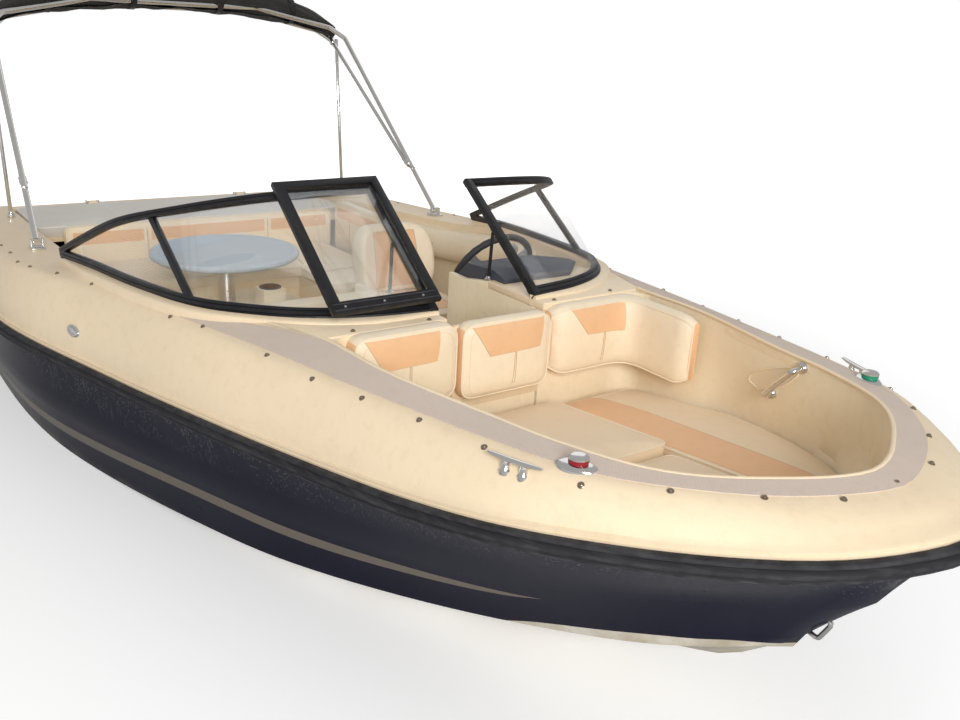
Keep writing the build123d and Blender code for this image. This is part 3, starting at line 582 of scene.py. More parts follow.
class Effects:
    """Shared effects, each a node group built once."""

    built: dict[str, bpy.types.NodeTree] = {}

    @classmethod
    def get(cls, name: str) -> bpy.types.NodeTree:
        """Returns the group of that name, building it the first time.

        Args:
            name: the group's name, which is also its method's.

        Returns:
            The group.
        """
        if name not in cls.built:
            cls.built[name] = getattr(cls, name)()
        return cls.built[name]

    @staticmethod
    def start(name: str, inputs: Sequence[tuple[str, str, object]], outputs: Sequence[tuple[str, str]]
              ) -> tuple[bpy.types.NodeTree, Wiring, bpy.types.Node, bpy.types.Node]:
        """Opens a node group.

        Args:
            name: the group's name.
            inputs: name, socket type and value of each input.
            outputs: name and socket type of each output.

        Returns:
            The tree, its wiring, and its input and output nodes.
        """
        tree = bpy.data.node_groups.new(name, "ShaderNodeTree")
        for label, kind, value in inputs:
            socket = tree.interface.new_socket(label, in_out="INPUT", socket_type="NodeSocket" + kind)
            socket.default_value = value
        for label, kind in outputs:
            tree.interface.new_socket(label, in_out="OUTPUT", socket_type="NodeSocket" + kind)
        return tree, Wiring(tree), tree.nodes.new("NodeGroupInput"), tree.nodes.new("NodeGroupOutput")

    @classmethod
    def drift(cls) -> bpy.types.NodeTree:
        """Slow change of tone over a surface, with sun-faded and grubby areas.

        Returns:
            The group.
        """
        tree, w, here, out = cls.start(
            "tone_drift", [("Tone", "Color", (.8, .8, .8, 1)), ("Faded", "Color", (1, 1, 1, 1)),
                           ("Grubby", "Color", (.3, .3, .3, 1)), ("Amount", "Float", .3),
                           ("Scale", "Float", 3.0)], [("Color", "Color"), ("Mask", "Float")])
        at = w.place()
        slow = w.add("TexNoise", {"Vector": at, "Scale": here.outputs["Scale"], "Detail": 5.0, "Roughness": .6})
        quick = w.add("TexNoise", {"Vector": at, "Scale": w.math("MULTIPLY", here.outputs["Scale"], 9.0),
                                   "Detail": 6.0, "Roughness": .7})
        faded = w.math("MULTIPLY", w.ramp(slow.outputs["Fac"], .42, .72), here.outputs["Amount"])
        grubby = w.math("MULTIPLY", w.ramp(quick.outputs["Fac"], .5, .78), here.outputs["Amount"])
        first = w.blend(faded, here.outputs["Tone"], here.outputs["Faded"])
        second = w.blend(grubby, first, here.outputs["Grubby"])
        w.link(second, out.inputs["Color"])
        w.link(slow.outputs["Fac"], out.inputs["Mask"])
        return tree

    @classmethod
    def grain(cls) -> bpy.types.NodeTree:
        """Leathery or moulded grain: fine cells broken by noise.

        Returns:
            The group.
        """
        tree, w, here, out = cls.start("surface_grain", [("Scale", "Float", 400.0), ("Cells", "Float", .6)],
                                       [("Height", "Float")])
        at = w.place()
        warp = w.add("TexNoise", {"Vector": at, "Scale": w.math("MULTIPLY", here.outputs["Scale"], .4), "Detail": 3.0})
        cells = w.add("TexVoronoi", {"Vector": w.add("VectorMath", {0: at, 1: w.add(
            "VectorMath", {0: warp.outputs["Color"], "Scale": .002}, operation="SCALE").outputs[0]}).outputs[0],
            "Scale": here.outputs["Scale"]}, feature="DISTANCE_TO_EDGE")
        raised = w.ramp(cells.outputs["Distance"], 0.0, .25)
        mix = w.add("Mix", {0: here.outputs["Cells"], 2: warp.outputs["Fac"], 3: raised})
        w.link(mix.outputs[0], out.inputs["Height"])
        return tree

    @classmethod
    def weave(cls) -> bpy.types.NodeTree:
        """Plain weave of two crossing yarns.

        Returns:
            The group.
        """
        tree, w, here, out = cls.start("plain_weave", [("Scale", "Float", 900.0)],
                                       [("Height", "Float"), ("Mask", "Float")])
        bands = []
        for direction in ("X", "Y", "Z"):
            bands.append(w.add("TexWave", {"Vector": w.place(), "Scale": here.outputs["Scale"], "Distortion": .6},
                               bands_direction=direction).outputs["Fac"])
        crossed = w.math("MULTIPLY", w.math("MAXIMUM", bands[0], bands[1]), bands[2])
        w.link(crossed, out.inputs["Height"])
        w.link(w.ramp(crossed, .2, .8), out.inputs["Mask"])
        return tree

    @classmethod
    def wear(cls) -> bpy.types.NodeTree:
        """Mask of exposed edges, broken up by noise.

        Returns:
            The group.
        """
        tree, w, here, out = cls.start("edge_wear", [("Amount", "Float", .5), ("Scale", "Float", 30.0)],
                                       [("Mask", "Float")])
        edge = w.ramp(w.add("NewGeometry").outputs["Pointiness"], .52, .6)
        noise = w.add("TexNoise", {"Vector": w.place(), "Scale": here.outputs["Scale"], "Detail": 6.0})
        broken = w.math("MULTIPLY", edge, w.ramp(noise.outputs["Fac"], .35, .7))
        w.link(w.math("MULTIPLY", broken, here.outputs["Amount"]), out.inputs["Mask"])
        return tree

    @classmethod
    def runs(cls) -> bpy.types.NodeTree:
        """Mask of fine vertical runs, as rain leaves on a topside.

        Returns:
            The group.
        """
        tree, w, here, out = cls.start("vertical_runs", [("Scale", "Float", 60.0), ("Amount", "Float", .5)],
                                       [("Mask", "Float")])
        fine = w.add("TexNoise", {"Vector": w.place((1, 1, .07)), "Scale": here.outputs["Scale"], "Detail": 5.0,
                                  "Roughness": .65})
        broad = w.add("TexNoise", {"Vector": w.place((1, 1, .4)), "Scale": 3.0, "Detail": 2.0})
        mask = w.math("MULTIPLY", w.ramp(fine.outputs["Fac"], .55, .75), w.ramp(broad.outputs["Fac"], .4, .65))
        w.link(w.math("MULTIPLY", mask, here.outputs["Amount"]), out.inputs["Mask"])
        return tree

    @classmethod
    def specks(cls) -> bpy.types.NodeTree:
        """Mask of small chalky specks.

        Returns:
            The group.
        """
        tree, w, here, out = cls.start("chalk_specks", [("Scale", "Float", 90.0), ("Cover", "Float", .5)],
                                       [("Mask", "Float")])
        dots = w.add("TexVoronoi", {"Vector": w.place((1, 1, .6)), "Scale": here.outputs["Scale"],
                                    "Randomness": 1.0})
        dot = w.ramp(dots.outputs["Distance"], .32, .12)
        some = w.add("TexNoise", {"Vector": w.place(), "Scale": 14.0, "Detail": 4.0})
        limit = w.math("SUBTRACT", 1.0, here.outputs["Cover"])
        there = w.math("GREATER_THAN", some.outputs["Fac"], limit)
        w.link(w.math("MULTIPLY", dot, there), out.inputs["Mask"])
        return tree

    @classmethod
    def use(cls, w: Wiring, name: str, **inputs: object) -> bpy.types.Node:
        """Places a group in a material.

        Args:
            w: the material's wiring.
            name: the group.
            **inputs: values or sockets by input name, spaces as underscores.

        Returns:
            The group node.
        """
        node = w.add("Group", node_tree=cls.get(name))
        for key, value in inputs.items():
            socket = node.inputs[key]
            if isinstance(value, bpy.types.NodeSocket):
                w.link(value, socket)
            elif socket.type == "RGBA":
                socket.default_value = (*value[:3], 1.0)
            else:
                socket.default_value = value
        return node


@dataclass(frozen=True)
class Finish:
    """A finish with a drifting colour, a roughness and a fine relief."""

    name: str
    tone: tuple[float, float, float]
    roughness: float = .5
    amount: float = .35
    drift: float = 3.0
    depth: float = .0003
    grain: float = 400.0
    slot: str = ""

    def faded(self) -> tuple[float, float, float]:
        """The tone where the sun has bleached it."""
        return tuple(min(1.0, c * BLEACH + LIFT) for c in self.tone)

    def grubby(self) -> tuple[float, float, float]:
        """The tone where it is soiled."""
        return tuple(c * f for c, f in zip(self.tone, SOIL))

    def settings(self) -> dict[str, object]:
        """Constants of the shader."""
        return {}

    def colour(self, w: Wiring) -> bpy.types.NodeSocket:
        """The colour over the surface."""
        return Effects.use(w, "drift", Tone=self.tone, Faded=self.faded(), Grubby=self.grubby(),
                           Amount=self.amount, Scale=self.drift).outputs["Color"]

    def height(self, w: Wiring) -> bpy.types.NodeSocket:
        """The relief over the surface."""
        return Effects.use(w, "grain", Scale=self.grain).outputs["Height"]

    def rough(self, w: Wiring) -> bpy.types.NodeSocket:
        """The roughness over the surface."""
        noise = w.add("TexNoise", {"Vector": w.place(), "Scale": self.drift * 4, "Detail": 5.0})
        return w.ramp(noise.outputs["Fac"], .3, .7, max(.02, self.roughness - .07), self.roughness + .09)

    def material(self) -> bpy.types.Material:
        """Builds the material once and returns it.

        Returns:
            The material.
        """
        if self.name in bpy.data.materials:
            return bpy.data.materials[self.name]
        made = bpy.data.materials.new(self.name)
        made.use_nodes = True
        w = Wiring(made.node_tree)
        shader = made.node_tree.nodes["Principled BSDF"]
        for key, value in self.settings().items():
            shader.inputs[key].default_value = value
        w.link(self.colour(w), shader.inputs["Base Color"])
        w.link(self.rough(w), shader.inputs["Roughness"])
        bump = w.add("Bump", {"Height": self.height(w), "Strength": .6, "Distance": self.depth})
        w.link(bump.outputs[0], shader.inputs["Normal"])
        return made


@dataclass(frozen=True)
class Gelcoat(Finish):
    """Sprayed gelcoat, glossy with faint orange peel."""

    roughness: float = .36
    grain: float = 90.0
    depth: float = .00012

    def settings(self) -> dict[str, object]:
        """A clear gloss over the colour."""
        return {"Coat Weight": .04, "Coat Roughness": .14, "Specular IOR Level": .24}

    def colour(self, w: Wiring) -> bpy.types.NodeSocket:
        """Cream with faint runs and grime.

        Args:
            w: the material's wiring.

        Returns:
            The colour.
        """
        base = super().colour(w)
        runs = Effects.use(w, "runs", Scale=40.0, Amount=.22).outputs["Mask"]
        return w.blend(runs, base, self.grubby())


@dataclass(frozen=True)
class Vinyl(Finish):
    """Soft upholstery vinyl with a leather grain."""

    roughness: float = .46
    grain: float = 520.0
    depth: float = .0006
    amount: float = .3

    def settings(self) -> dict[str, object]:
        """A faint sheen."""
        return {"Sheen Weight": .12, "Sheen Roughness": .5, "Specular IOR Level": .35}

    def height(self, w: Wiring) -> bpy.types.NodeSocket:
        """Grain on soft wrinkles.

        Args:
            w: the material's wiring.

        Returns:
            The relief.
        """
        grain = super().height(w)
        folds = w.add("TexNoise", {"Vector": w.place(), "Scale": 11.0, "Detail": 2.0, "Distortion": .6})
        return w.math("ADD", w.math("MULTIPLY", grain, .35), w.math("MULTIPLY", folds.outputs["Fac"], 3.0))


@dataclass(frozen=True)
class Nonskid(Finish):
    """Moulded anti-slip texture of small raised pyramids."""

    roughness: float = .62
    depth: float = .0012
    pitch: float = 115.0

    def height(self, w: Wiring) -> bpy.types.NodeSocket:
        """Crossed diagonal ridges.

        Args:
            w: the material's wiring.

        Returns:
            The relief.
        """
        ridges = []
        for turn in (math.radians(45), math.radians(-45)):
            ridges.append(w.add("TexWave", {"Vector": w.place(turn=(0, 0, turn)), "Scale": self.pitch},
                                bands_direction="X").outputs["Fac"])
        return w.math("MULTIPLY", *ridges)

    def colour(self, w: Wiring) -> bpy.types.NodeSocket:
        """Dirt lies in the valleys between the pyramids.

        Args:
            w: the material's wiring.

        Returns:
            The colour.
        """
        base = super().colour(w)
        valley = w.ramp(self.height(w), .35, .05)
        return w.blend(w.math("MULTIPLY", valley, .55), base, self.grubby())


@dataclass(frozen=True)
class Metal(Finish):
    """Bare metal, polished or brushed."""

    roughness: float = .18
    grain: float = 260.0
    depth: float = .00008
    brushed: bool = False

    def settings(self) -> dict[str, object]:
        """Fully metallic."""
        return {"Metallic": 1.0}

    def height(self, w: Wiring) -> bpy.types.NodeSocket:
        """Fine scratches, drawn out along the length where brushed."""
        scale = (2.0, 2.0, .05) if self.brushed else (1.0, 1.0, 1.0)
        return w.add("TexNoise", {"Vector": w.place(scale), "Scale": self.grain * 2, "Detail": 4.0}).outputs["Fac"]


@dataclass(frozen=True)
class Plastic(Finish):
    """Moulded plastic or satin paint, worn pale along its edges."""

    roughness: float = .42
    grain: float = 900.0
    depth: float = .00025
    worn: float = .35

    def settings(self) -> dict[str, object]:
        """Little mirror."""
        return {"Specular IOR Level": .32}

    def colour(self, w: Wiring) -> bpy.types.NodeSocket:
        """Drifting tone with rubbed edges.

        Args:
            w: the material's wiring.

        Returns:
            The colour.
        """
        base = super().colour(w)
        rubbed = tuple(min(1.0, c * 1.6 + .06) for c in self.tone)
        return w.blend(Effects.use(w, "wear", Amount=self.worn).outputs["Mask"], base, rubbed)


@dataclass(frozen=True)
class Rubber(Plastic):
    """Extruded rubber, scuffed and chalky."""

    roughness: float = .68
    worn: float = .8

    def colour(self, w: Wiring) -> bpy.types.NodeSocket:
        """Scuffs drawn along the rail.

        Args:
            w: the material's wiring.

        Returns:
            The colour.
        """
        base = super().colour(w)
        scuff = w.add("TexNoise", {"Vector": w.place((.4, .4, 6.0)), "Scale": 22.0, "Detail": 6.0})
        return w.blend(w.math("MULTIPLY", w.ramp(scuff.outputs["Fac"], .52, .75), .4), base, (.09, .085, .085))


@dataclass(frozen=True)
class Canvas(Finish):
    """Woven marine canvas."""

    roughness: float = .85
    depth: float = .0008
    grain: float = 700.0

    def settings(self) -> dict[str, object]:
        """A dusty sheen."""
        return {"Sheen Weight": .1, "Sheen Roughness": .6, "Specular IOR Level": .15}

    def height(self, w: Wiring) -> bpy.types.NodeSocket:
        """Woven yarns."""
        return Effects.use(w, "weave", Scale=self.grain).outputs["Height"]

    def colour(self, w: Wiring) -> bpy.types.NodeSocket:
        """Dust in the weave and pale along the folds.

        Args:
            w: the material's wiring.

        Returns:
            The colour.
        """
        base = super().colour(w)
        yarn = Effects.use(w, "weave", Scale=self.grain).outputs["Mask"]
        dusty = w.blend(w.math("MULTIPLY", yarn, .25), base, (.11, .1, .09))
        return w.blend(Effects.use(w, "wear", Amount=.5, Scale=18.0).outputs["Mask"], dusty, (.15, .14, .12))


@dataclass(frozen=True)
class Glass(Finish):
    """Lightly tinted acrylic with dried spray."""

    roughness: float = 0.0
    depth: float = .00001
    cover: float = .12

    def settings(self) -> dict[str, object]:
        """See-through."""
        return {"Transmission Weight": 1.0, "IOR": 1.28, "Specular IOR Level": .3, "Alpha": self.cover}

    def rough(self, w: Wiring) -> bpy.types.NodeSocket:
        """Clear with hazy specks of salt."""
        specks = Effects.use(w, "specks", Scale=160.0, Cover=.4).outputs["Mask"]
        return w.ramp(specks, 0.0, 1.0, self.roughness, .16)


@dataclass(frozen=True)
class HullPaint(Finish):
    """Dark topsides with a pale stripe, a white bottom drawn dark tan as painted shade and painted water reflection,
    and chalk under the rail.
    """

    stripe: tuple[float, float, float] = (.155, .13, .105)
    # painted shade and reflection: the white bottom's tone, darkened and browned
    bottom: tuple[float, float, float] = (.47, .4, .29)
    chalk: tuple[float, float, float] = (.42, .42, .42)
    roughness: float = .16
    depth: float = .0001
    grain: float = 60.0
    edge: tuple[tuple[float, float], ...] = ((-2.1, .045), (-1.1, .062), (-.16, .1), (.795, .181),
                                             (1.131, .2), (1.47, .242), (1.752, .295), (1.86, .331))
    width: tuple[tuple[float, float], ...] = ((-2.1, .044), (.8, .042), (1.4, .034), (1.75, .016), (1.862, 0.0))
    rail: tuple[tuple[float, float], ...] = ((-2.1, .415), (-.4, .435), (.3, .457), (.92, .507),
                                             (1.37, .547), (1.74, .597), (2.0, .637), (2.22, .667), (2.6, .717))
    reach: tuple[float, float] = (-2.2, 2.7)
    foot: tuple[tuple[float, float], ...] = ((-2.1, -.05), (-.7, -.035), (.1, -.01), (.6, .02), (1.0, .055),
                                             (1.4, .1), (1.65, .15), (1.8, .207), (1.925, .246), (2.062, .284),
                                             (2.136, .3), (2.218, .321), (2.34, .337))

    def settings(self) -> dict[str, object]:
        """Polished gelcoat."""
        return {"Coat Weight": .02, "Coat Roughness": .08, "Specular IOR Level": .4, "IOR": 1.2}

    def along(self, w: Wiring, x: bpy.types.NodeSocket, line: Sequence[tuple[float, float]]) -> bpy.types.NodeSocket:
        """Height of a line along the hull, as a curve of x.

        Args:
            w: the material's wiring.
            x: place along the hull.
            line: places and heights.

        Returns:
            The line's height at x.
        """
        low, high = self.reach
        curve = w.add("FloatCurve", {"Value": w.ramp(x, low, high)})
        points = curve.mapping.curves[0].points
        places = [((px - low) / (high - low), pz + .1) for px, pz in line]
        points[0].location, points[1].location = places[0], places[-1]
        for place in places[1:-1]:
            points.new(*place)
        for point in points:
            point.handle_type = "AUTO_CLAMPED"
        curve.mapping.update()
        return w.math("SUBTRACT", curve.outputs[0], .1)

    def colour(self, w: Wiring) -> bpy.types.NodeSocket:
        """Paint lines by height, the white bottom in painted shade and reflection, then weathering.

        Args:
            w: the material's wiring.

        Returns:
            The colour.
        """
        base = super().colour(w)
        split = w.add("SeparateXYZ", {0: w.place()})
        x, z = split.outputs["X"], split.outputs["Z"]
        over = w.math("SUBTRACT", z, self.along(w, x, self.edge))
        inside = w.math("MULTIPLY", w.math("GREATER_THAN", over, 0.0),
                        w.math("LESS_THAN", over, self.along(w, x, self.width)))
        striped = w.blend(inside, base, self.stripe)
        below = w.math("SUBTRACT", self.along(w, x, self.foot), z)
        # painted shade and reflection: the white bottom drawn in a dark tan, with paler and grubbier patches
        bottom_in_painted_shade = Effects.use(w, "drift", Tone=self.bottom, Faded=(.8, .78, .72), Grubby=(.42, .36, .24),
                            Amount=.7, Scale=5.0).outputs["Color"]
        painted = w.blend(w.math("GREATER_THAN", below, 0.0), striped, bottom_in_painted_shade)
        depth = w.math("SUBTRACT", self.along(w, x, self.rail), z)
        near = w.ramp(depth, .16, 0.0)
        runs = Effects.use(w, "runs", Scale=55.0, Amount=.8).outputs["Mask"]
        specks = Effects.use(w, "specks", Scale=120.0, Cover=.56).outputs["Mask"]
        dust = w.math("MULTIPLY", w.math("MAXIMUM", runs, w.math("MULTIPLY", specks, .7)), near)
        chalky = w.blend(w.math("MULTIPLY", dust, .5), painted, self.chalk)
        scum = w.add("TexNoise", {"Vector": w.place((1, 1, 3)), "Scale": 9.0, "Detail": 6.0})
        low = w.math("MULTIPLY", w.ramp(z, .055, 0.0), w.ramp(scum.outputs["Fac"], .35, .65))
        return w.blend(w.math("MULTIPLY", low, .6), chalky, (.17, .15, .1))

    def rough(self, w: Wiring) -> bpy.types.NodeSocket:
        """Dull where chalk lies."""
        runs = Effects.use(w, "runs", Scale=55.0, Amount=1.0).outputs["Mask"]
        return w.ramp(runs, 0.0, 1.0, self.roughness, .45)


class Palette:
    """All finishes of the boat."""

    cream = Gelcoat("cream_moulding", (.87, .71, .495), slot="cream_gelcoat")
    # painted light: the liner is the deck's cream gelcoat drawn paler, to lift the shaded well and cockpit
    liner = Gelcoat("liner_gelcoat_lightened", (.92, .785, .57), roughness=.34, slot="cream_gelcoat")
    hull = HullPaint("hull_paint", (.006, .006, .019), amount=.2, slot="hull_gelcoat")
    rail = Rubber("rail_rubber", (.016, .015, .018), slot="rub_rail_rubber")
    nonskid = Nonskid("nonskid_moulding", (.76, .645, .555), slot="nonskid")
    sole = Nonskid("sole_nonskid", (.62, .55, .45), pitch=90.0, slot="cream_gelcoat")
    vinyl = Vinyl("cream_vinyl", (.9, .765, .565), slot="vinyl_cream")
    # painted shade: the seat cushions get a darker, warmer copy of the cream vinyl
    seat = Vinyl("seat_vinyl_shaded", (.88, .71, .5), slot="vinyl_cream")
    tan = Vinyl("tan_vinyl", (.84, .515, .285), slot="vinyl_cream")
    piping = Vinyl("cream_piping", (.88, .76, .58), roughness=.36, depth=.0002, slot="vinyl_cream")
    stitch = Vinyl("seam_vinyl", (.6, .45, .29), depth=.0002, slot="vinyl_cream")
    # painted shade: the sun pad's white vinyl is drawn greyer than its white piping
    pale = Vinyl("sun_pad_vinyl_shaded", (.7, .665, .605), slot="vinyl_pale")
    white_piping = Vinyl("white_piping", (.84, .82, .78), depth=.0002, slot="vinyl_pale")
    hood = Plastic("hood_vinyl", (.055, .06, .078), roughness=.5, slot="dash_plastic")
    dash = Plastic("dash_moulding", (.045, .045, .05), slot="dash_plastic")
    grey = Plastic("spoke_plastic", (.26, .26, .27), roughness=.38, slot="dash_plastic")
    frame = Plastic("frame_black", (.008, .008, .01), roughness=.36, worn=.3, slot="black_frame")
    glass = Glass("tinted_acrylic", (.84, .91, .95), amount=.05, slot="tinted_glass")
    # painted shade and sky reflection: the white table top is drawn blue-grey
    table = Gelcoat("table_gelcoat_shade_and_sky", (.5, .585, .66), slot="table_white")
    brushed = Metal("brushed_aluminium", (.6, .6, .61), roughness=.32, brushed=True, slot="brushed_metal")
    steel = Metal("polished_steel", (.72, .71, .69), slot="stainless")
    snap = Metal("snap_metal", (.34, .28, .22), roughness=.34, slot="stainless")
    green = Plastic("green_lens", (.02, .26, .15), roughness=.12, worn=.1, slot="lens_green")
    red = Plastic("red_lens", (.26, .012, .018), roughness=.12, worn=.1, slot="lens_red")
    drive = Plastic("drive_paint", (.03, .03, .034), roughness=.36, worn=.6, slot="drive_black")
    iron = Plastic("engine_paint", (.16, .17, .18), roughness=.55, slot="engine_iron")
    blade = Metal("propeller_metal", (.2, .2, .21), roughness=.34, slot="aluminium_prop")
    canvas = Canvas("black_canvas", (.02, .019, .018), amount=.6, drift=5.0, slot="canvas_black")
    dial = Plastic("dial_face", (.02, .02, .022), roughness=.3, slot="dash_plastic")
    pointer = Plastic("dial_marks", (.75, .72, .66), roughness=.4, slot="dash_plastic")


def fit(obj: Piece, finish: Finish, *nodes: str, body: Body = Body.BOAT) -> Piece:
    """Dresses a finished piece and ties it to the frame.

    Args:
        obj: the piece.
        finish: its finish.
        *nodes: CAD nodes that it stands for.
        body: the body it rides on.

    Returns:
        The same piece.
    """
    obj.data.materials.clear()
    obj.data.materials.append(finish.material())
    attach(obj, body.value)
    if nodes:
        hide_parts(*nodes)
    LOG.info("%s: %d faces", obj.name, len(obj.data.polygons))
    return obj


def gusset(obj: Piece, side: Callable[[bpy.types.MeshPolygon], bool]) -> None:
    """Gives a fitted pad tan sides where the test holds.

    Args:
        obj: the pad.
        side: tells whether a face belongs to a side.
    """
    obj.data.materials.append(Palette.tan.material())
    for face in obj.data.polygons:
        if side(face):
            face.material_index = 1


def pipe(pad: Piece, rim: Sequence[Vector], radius: float, width: float, body: Body = Body.BOAT,
         finish: Finish | None = None) -> None:
    """Runs piping round a pad's rim.

    Args:
        pad: the pad.
        rim: corners of its seam.
        radius: radius of the corners.
        width: thickness of the piping.
        body: what it rides on.
        finish: its vinyl, cream where not given.
    """
    line = tube(pad.name + "_piping", resampled(rim, radius), width, closed=True)
    fit(line, finish or Palette.piping, body=body)


def stitch(name: str, pad: Piece, points: Sequence[Point], way: Point, width: float, body: Body = Body.BOAT,
           finish: Finish | None = None, closed: bool = False) -> None:
    """Sews a line on a pad.

    Args:
        name: the line's name.
        pad: the pad.
        points: the line before it is pressed on to the pad.
        way: direction of the press.
        width: thickness of the thread.
        body: what it rides on.
        finish: its vinyl, the seams' own where not given.
        closed: whether it is a loop.
    """
    fit(seam(name, pad, points, way, width, closed=closed), finish or Palette.stitch, body=body)


def panel(name: str, pad: Piece, corners: Sequence[Point], way: Point, steps: tuple[int, int] = (14, 14),
          body: Body = Body.BOAT) -> None:
    """Sews a tan panel on a pad.

    Args:
        name: the panel's name.
        pad: the pad.
        corners: four corners in order.
        way: direction in which they are pressed on to the pad.
        steps: mesh steps along its two sides.
        body: what it rides on.
    """
    fit(patch(name, pad, corners, way, PANEL, *steps), Palette.tan, body=body)


def fair(rows: Sequence[Point], steps: int = 8) -> list[tuple[float, float, float]]:
    """Runs a smooth centripetal curve through points that end on the centreline or the transom.

    Args:
        rows: points x, y, z.
        steps: pieces of curve between two points.

    Returns:
        Closely spaced points of the curve.
    """
    points = [Vector(p) for p in rows]
    first = points[0] * 2 - points[1]
    last = points[-2].copy()
    last.y = -last.y
    if abs(points[-1].y) > 1e-6 or abs(points[-2].y) < 1e-6:
        last = points[-1] * 2 - points[-2]
    run = [first, *points, last]
    out: list[tuple[float, float, float]] = []
    for p0, p1, p2, p3 in zip(run, run[1:], run[2:], run[3:]):
        t0 = 0.0
        t1 = t0 + math.sqrt((p1 - p0).length)
        t2 = t1 + math.sqrt((p2 - p1).length)
        t3 = t2 + math.sqrt((p3 - p2).length)
        for k in range(steps):
            t = t1 + (t2 - t1) * k / steps
            a1 = p0.lerp(p1, (t - t0) / (t1 - t0))
            a2 = p1.lerp(p2, (t - t1) / (t2 - t1))
            a3 = p2.lerp(p3, (t - t2) / (t3 - t2))
            b1, b2 = a1.lerp(a2, (t - t0) / (t2 - t0)), a2.lerp(a3, (t - t1) / (t3 - t1))
            out.append(tuple(b1.lerp(b2, (t - t1) / (t2 - t1))))
    out.append(tuple(points[-1]))
    return out


class Lines:
    """The boat's fair curves as x, half-breadth and height, from the transom or the well's aft end to the stem.

    Sections stand square to the hull, pitch apart, up to fan, and turn round the bow from there.
    """

    transom = -2.1
    fan = 1.9
    pitch = .07
    turn = 4.5
    rail = fair([(-2.1, 1.15, .445), (-1.6, 1.175, .45), (-1.0, 1.178, .46), (-.42, 1.155, .47), (.31, .995, .49),
                 (.92, .88, .54), (1.37, .785, .58), (1.74, .718, .63), (2.0, .645, .67), (2.22, .525, .7),
                 (2.375, .405, .72), (2.49, .28, .735), (2.56, .15, .745), (2.595, 0, .75)])
    shoulder = fair([(-2.1, 1.05, .59), (-1.6, 1.085, .62), (-1.0, 1.095, .652), (-.42, 1.07, .69), (.08, .95, .716),
                     (.61, .845, .742), (1.1, .752, .762), (1.49, .672, .774), (1.86, .588, .786), (2.1, .51, .793),
                     (2.22, .425, .798), (2.345, .295, .8), (2.424, .155, .8), (2.468, 0, .8)])
    inner = fair([(-2.1, .83, .596), (-1.6, .85, .628), (-1.0, .865, .66), (-.42, .88, .7), (-.05, .858, .748),
                  (.3, .805, .768), (.64, .728, .784), (1.105, .598, .794), (1.41, .58, .796), (1.77, .505, .794),
                  (1.95, .468, .797), (2.165, .38, .8), (2.3, .22, .803), (2.388, 0, .804)])
    chine = fair([(-2.1, 1.075, -.025), (-1.4, 1.09, -.02), (-.7, 1.075, -.01), (-.3, 1.03, 0), (.1, .945, .012),
                  (.6, .81, .04), (1.0, .69, .075), (1.4, .52, .12), (1.75, .35, .175), (2.0, .22, .23),
                  (2.15, .125, .275), (2.29, 0, .33)])
    topmid = fair([(-2.1, 1.125, .215), (-1.4, 1.145, .218), (-.7, 1.14, .225), (-.3, 1.1, .235), (.1, 1.015, .25),
                   (.6, .89, .28), (1.0, .78, .31), (1.4, .65, .35), (1.75, .52, .4), (2.0, .4, .445),
                   (2.2, .255, .49), (2.36, .115, .52), (2.455, 0, .53)])
    keel = fair([(-2.1, 0, -.365), (-1.0, 0, -.375), (0, 0, -.365), (.7, 0, -.32), (1.2, 0, -.225), (1.52, 0, -.11),
                 (1.76, 0, .02), (2.0, 0, .125), (2.12, 0, .185), (2.27, 0, .315)])
    low = fair([(1.105, .56, .384), (1.41, .51, .384), (1.65, .45, .384), (1.9, .37, .384), (2.05, .258, .384),
                (2.16, .15, .384), (2.23, .06, .384), (2.255, 0, .384)])

    @staticmethod
    def at(curve: Sequence[Point], x: float) -> tuple[float, float]:
        """Half-breadth and height of a curve at x.

        Args:
            curve: one of the fair curves.
            x: place along the hull.

        Returns:
            Half-breadth and height.
        """
        if x <= curve[0][0]:
            return curve[0][1], curve[0][2]
        for a, b in zip(curve, curve[1:]):
            if x <= b[0]:
                t = (x - a[0]) / max(1e-9, b[0] - a[0])
                return a[1] + t * (b[1] - a[1]), a[2] + t * (b[2] - a[2])
        return curve[-1][1], curve[-1][2]

    @classmethod
    def hit(cls, curve: Sequence[Point], ox: float, deg: float) -> tuple[float, float]:
        """Distance from (ox, 0) to a curve along deg from +X, and its height there.

        Args:
            curve: one of the fair curves.
            ox: where the ray starts on the centreline.
            deg: the ray's direction.

        Returns:
            Distance and height.
        """
        if abs(abs(deg) - 90) < 1e-6:
            return cls.at(curve, ox)
        c, s = math.cos(math.radians(abs(deg))), math.sin(math.radians(abs(deg)))
        for p, q in zip(curve, curve[1:]):
            dp = (p[0] - ox) * s - p[1] * c
            dq = (q[0] - ox) * s - q[1] * c
            if dp <= 0 <= dq and q[0] > ox:
                t = dp / (dp - dq) if dp != dq else 0.0
                x, y, z = (u + t * (v - u) for u, v in zip(p, q))
                return (x - ox) * c + y * s, z
        return (curve[-1][0] - ox) * c, curve[-1][2]

    @classmethod
    def breadth(cls, ox: float, deg: float, z: float) -> float:
        """Distance from (ox, 0) to the topside along deg at height z.

        Args:
            ox: where the ray starts on the centreline.
            deg: the ray's direction from +X.
            z: height.

        Returns:
            The distance.
        """
        marks = [cls.hit(curve, ox, deg) for curve in (cls.chine, cls.topmid, cls.rail)]
        for (ra, za), (rb, zb) in zip(marks, marks[1:]):
            if z <= zb:
                return ra + (rb - ra) * max(0.0, z - za) / (zb - za)
        return marks[-1][0]

    @classmethod
    def stations(cls, x0: float) -> list[tuple[float, float]]:
        """Section planes along both sides, from starboard at x0 round the bow.

        Args:
            x0: first station.

        Returns:
            Origin on the centreline and direction in degrees of each.
        """
        count = max(1, round((cls.fan - x0) / cls.pitch))
        side = [(x0 + (cls.fan - x0) * k / count, 90.0) for k in range(count + 1)]
        half = side + [(cls.fan, 90 - cls.turn * k) for k in range(1, round(90 / cls.turn))]
        return [(x, -d) for x, d in half] + [(cls.fan, 0.0)] + half[::-1]

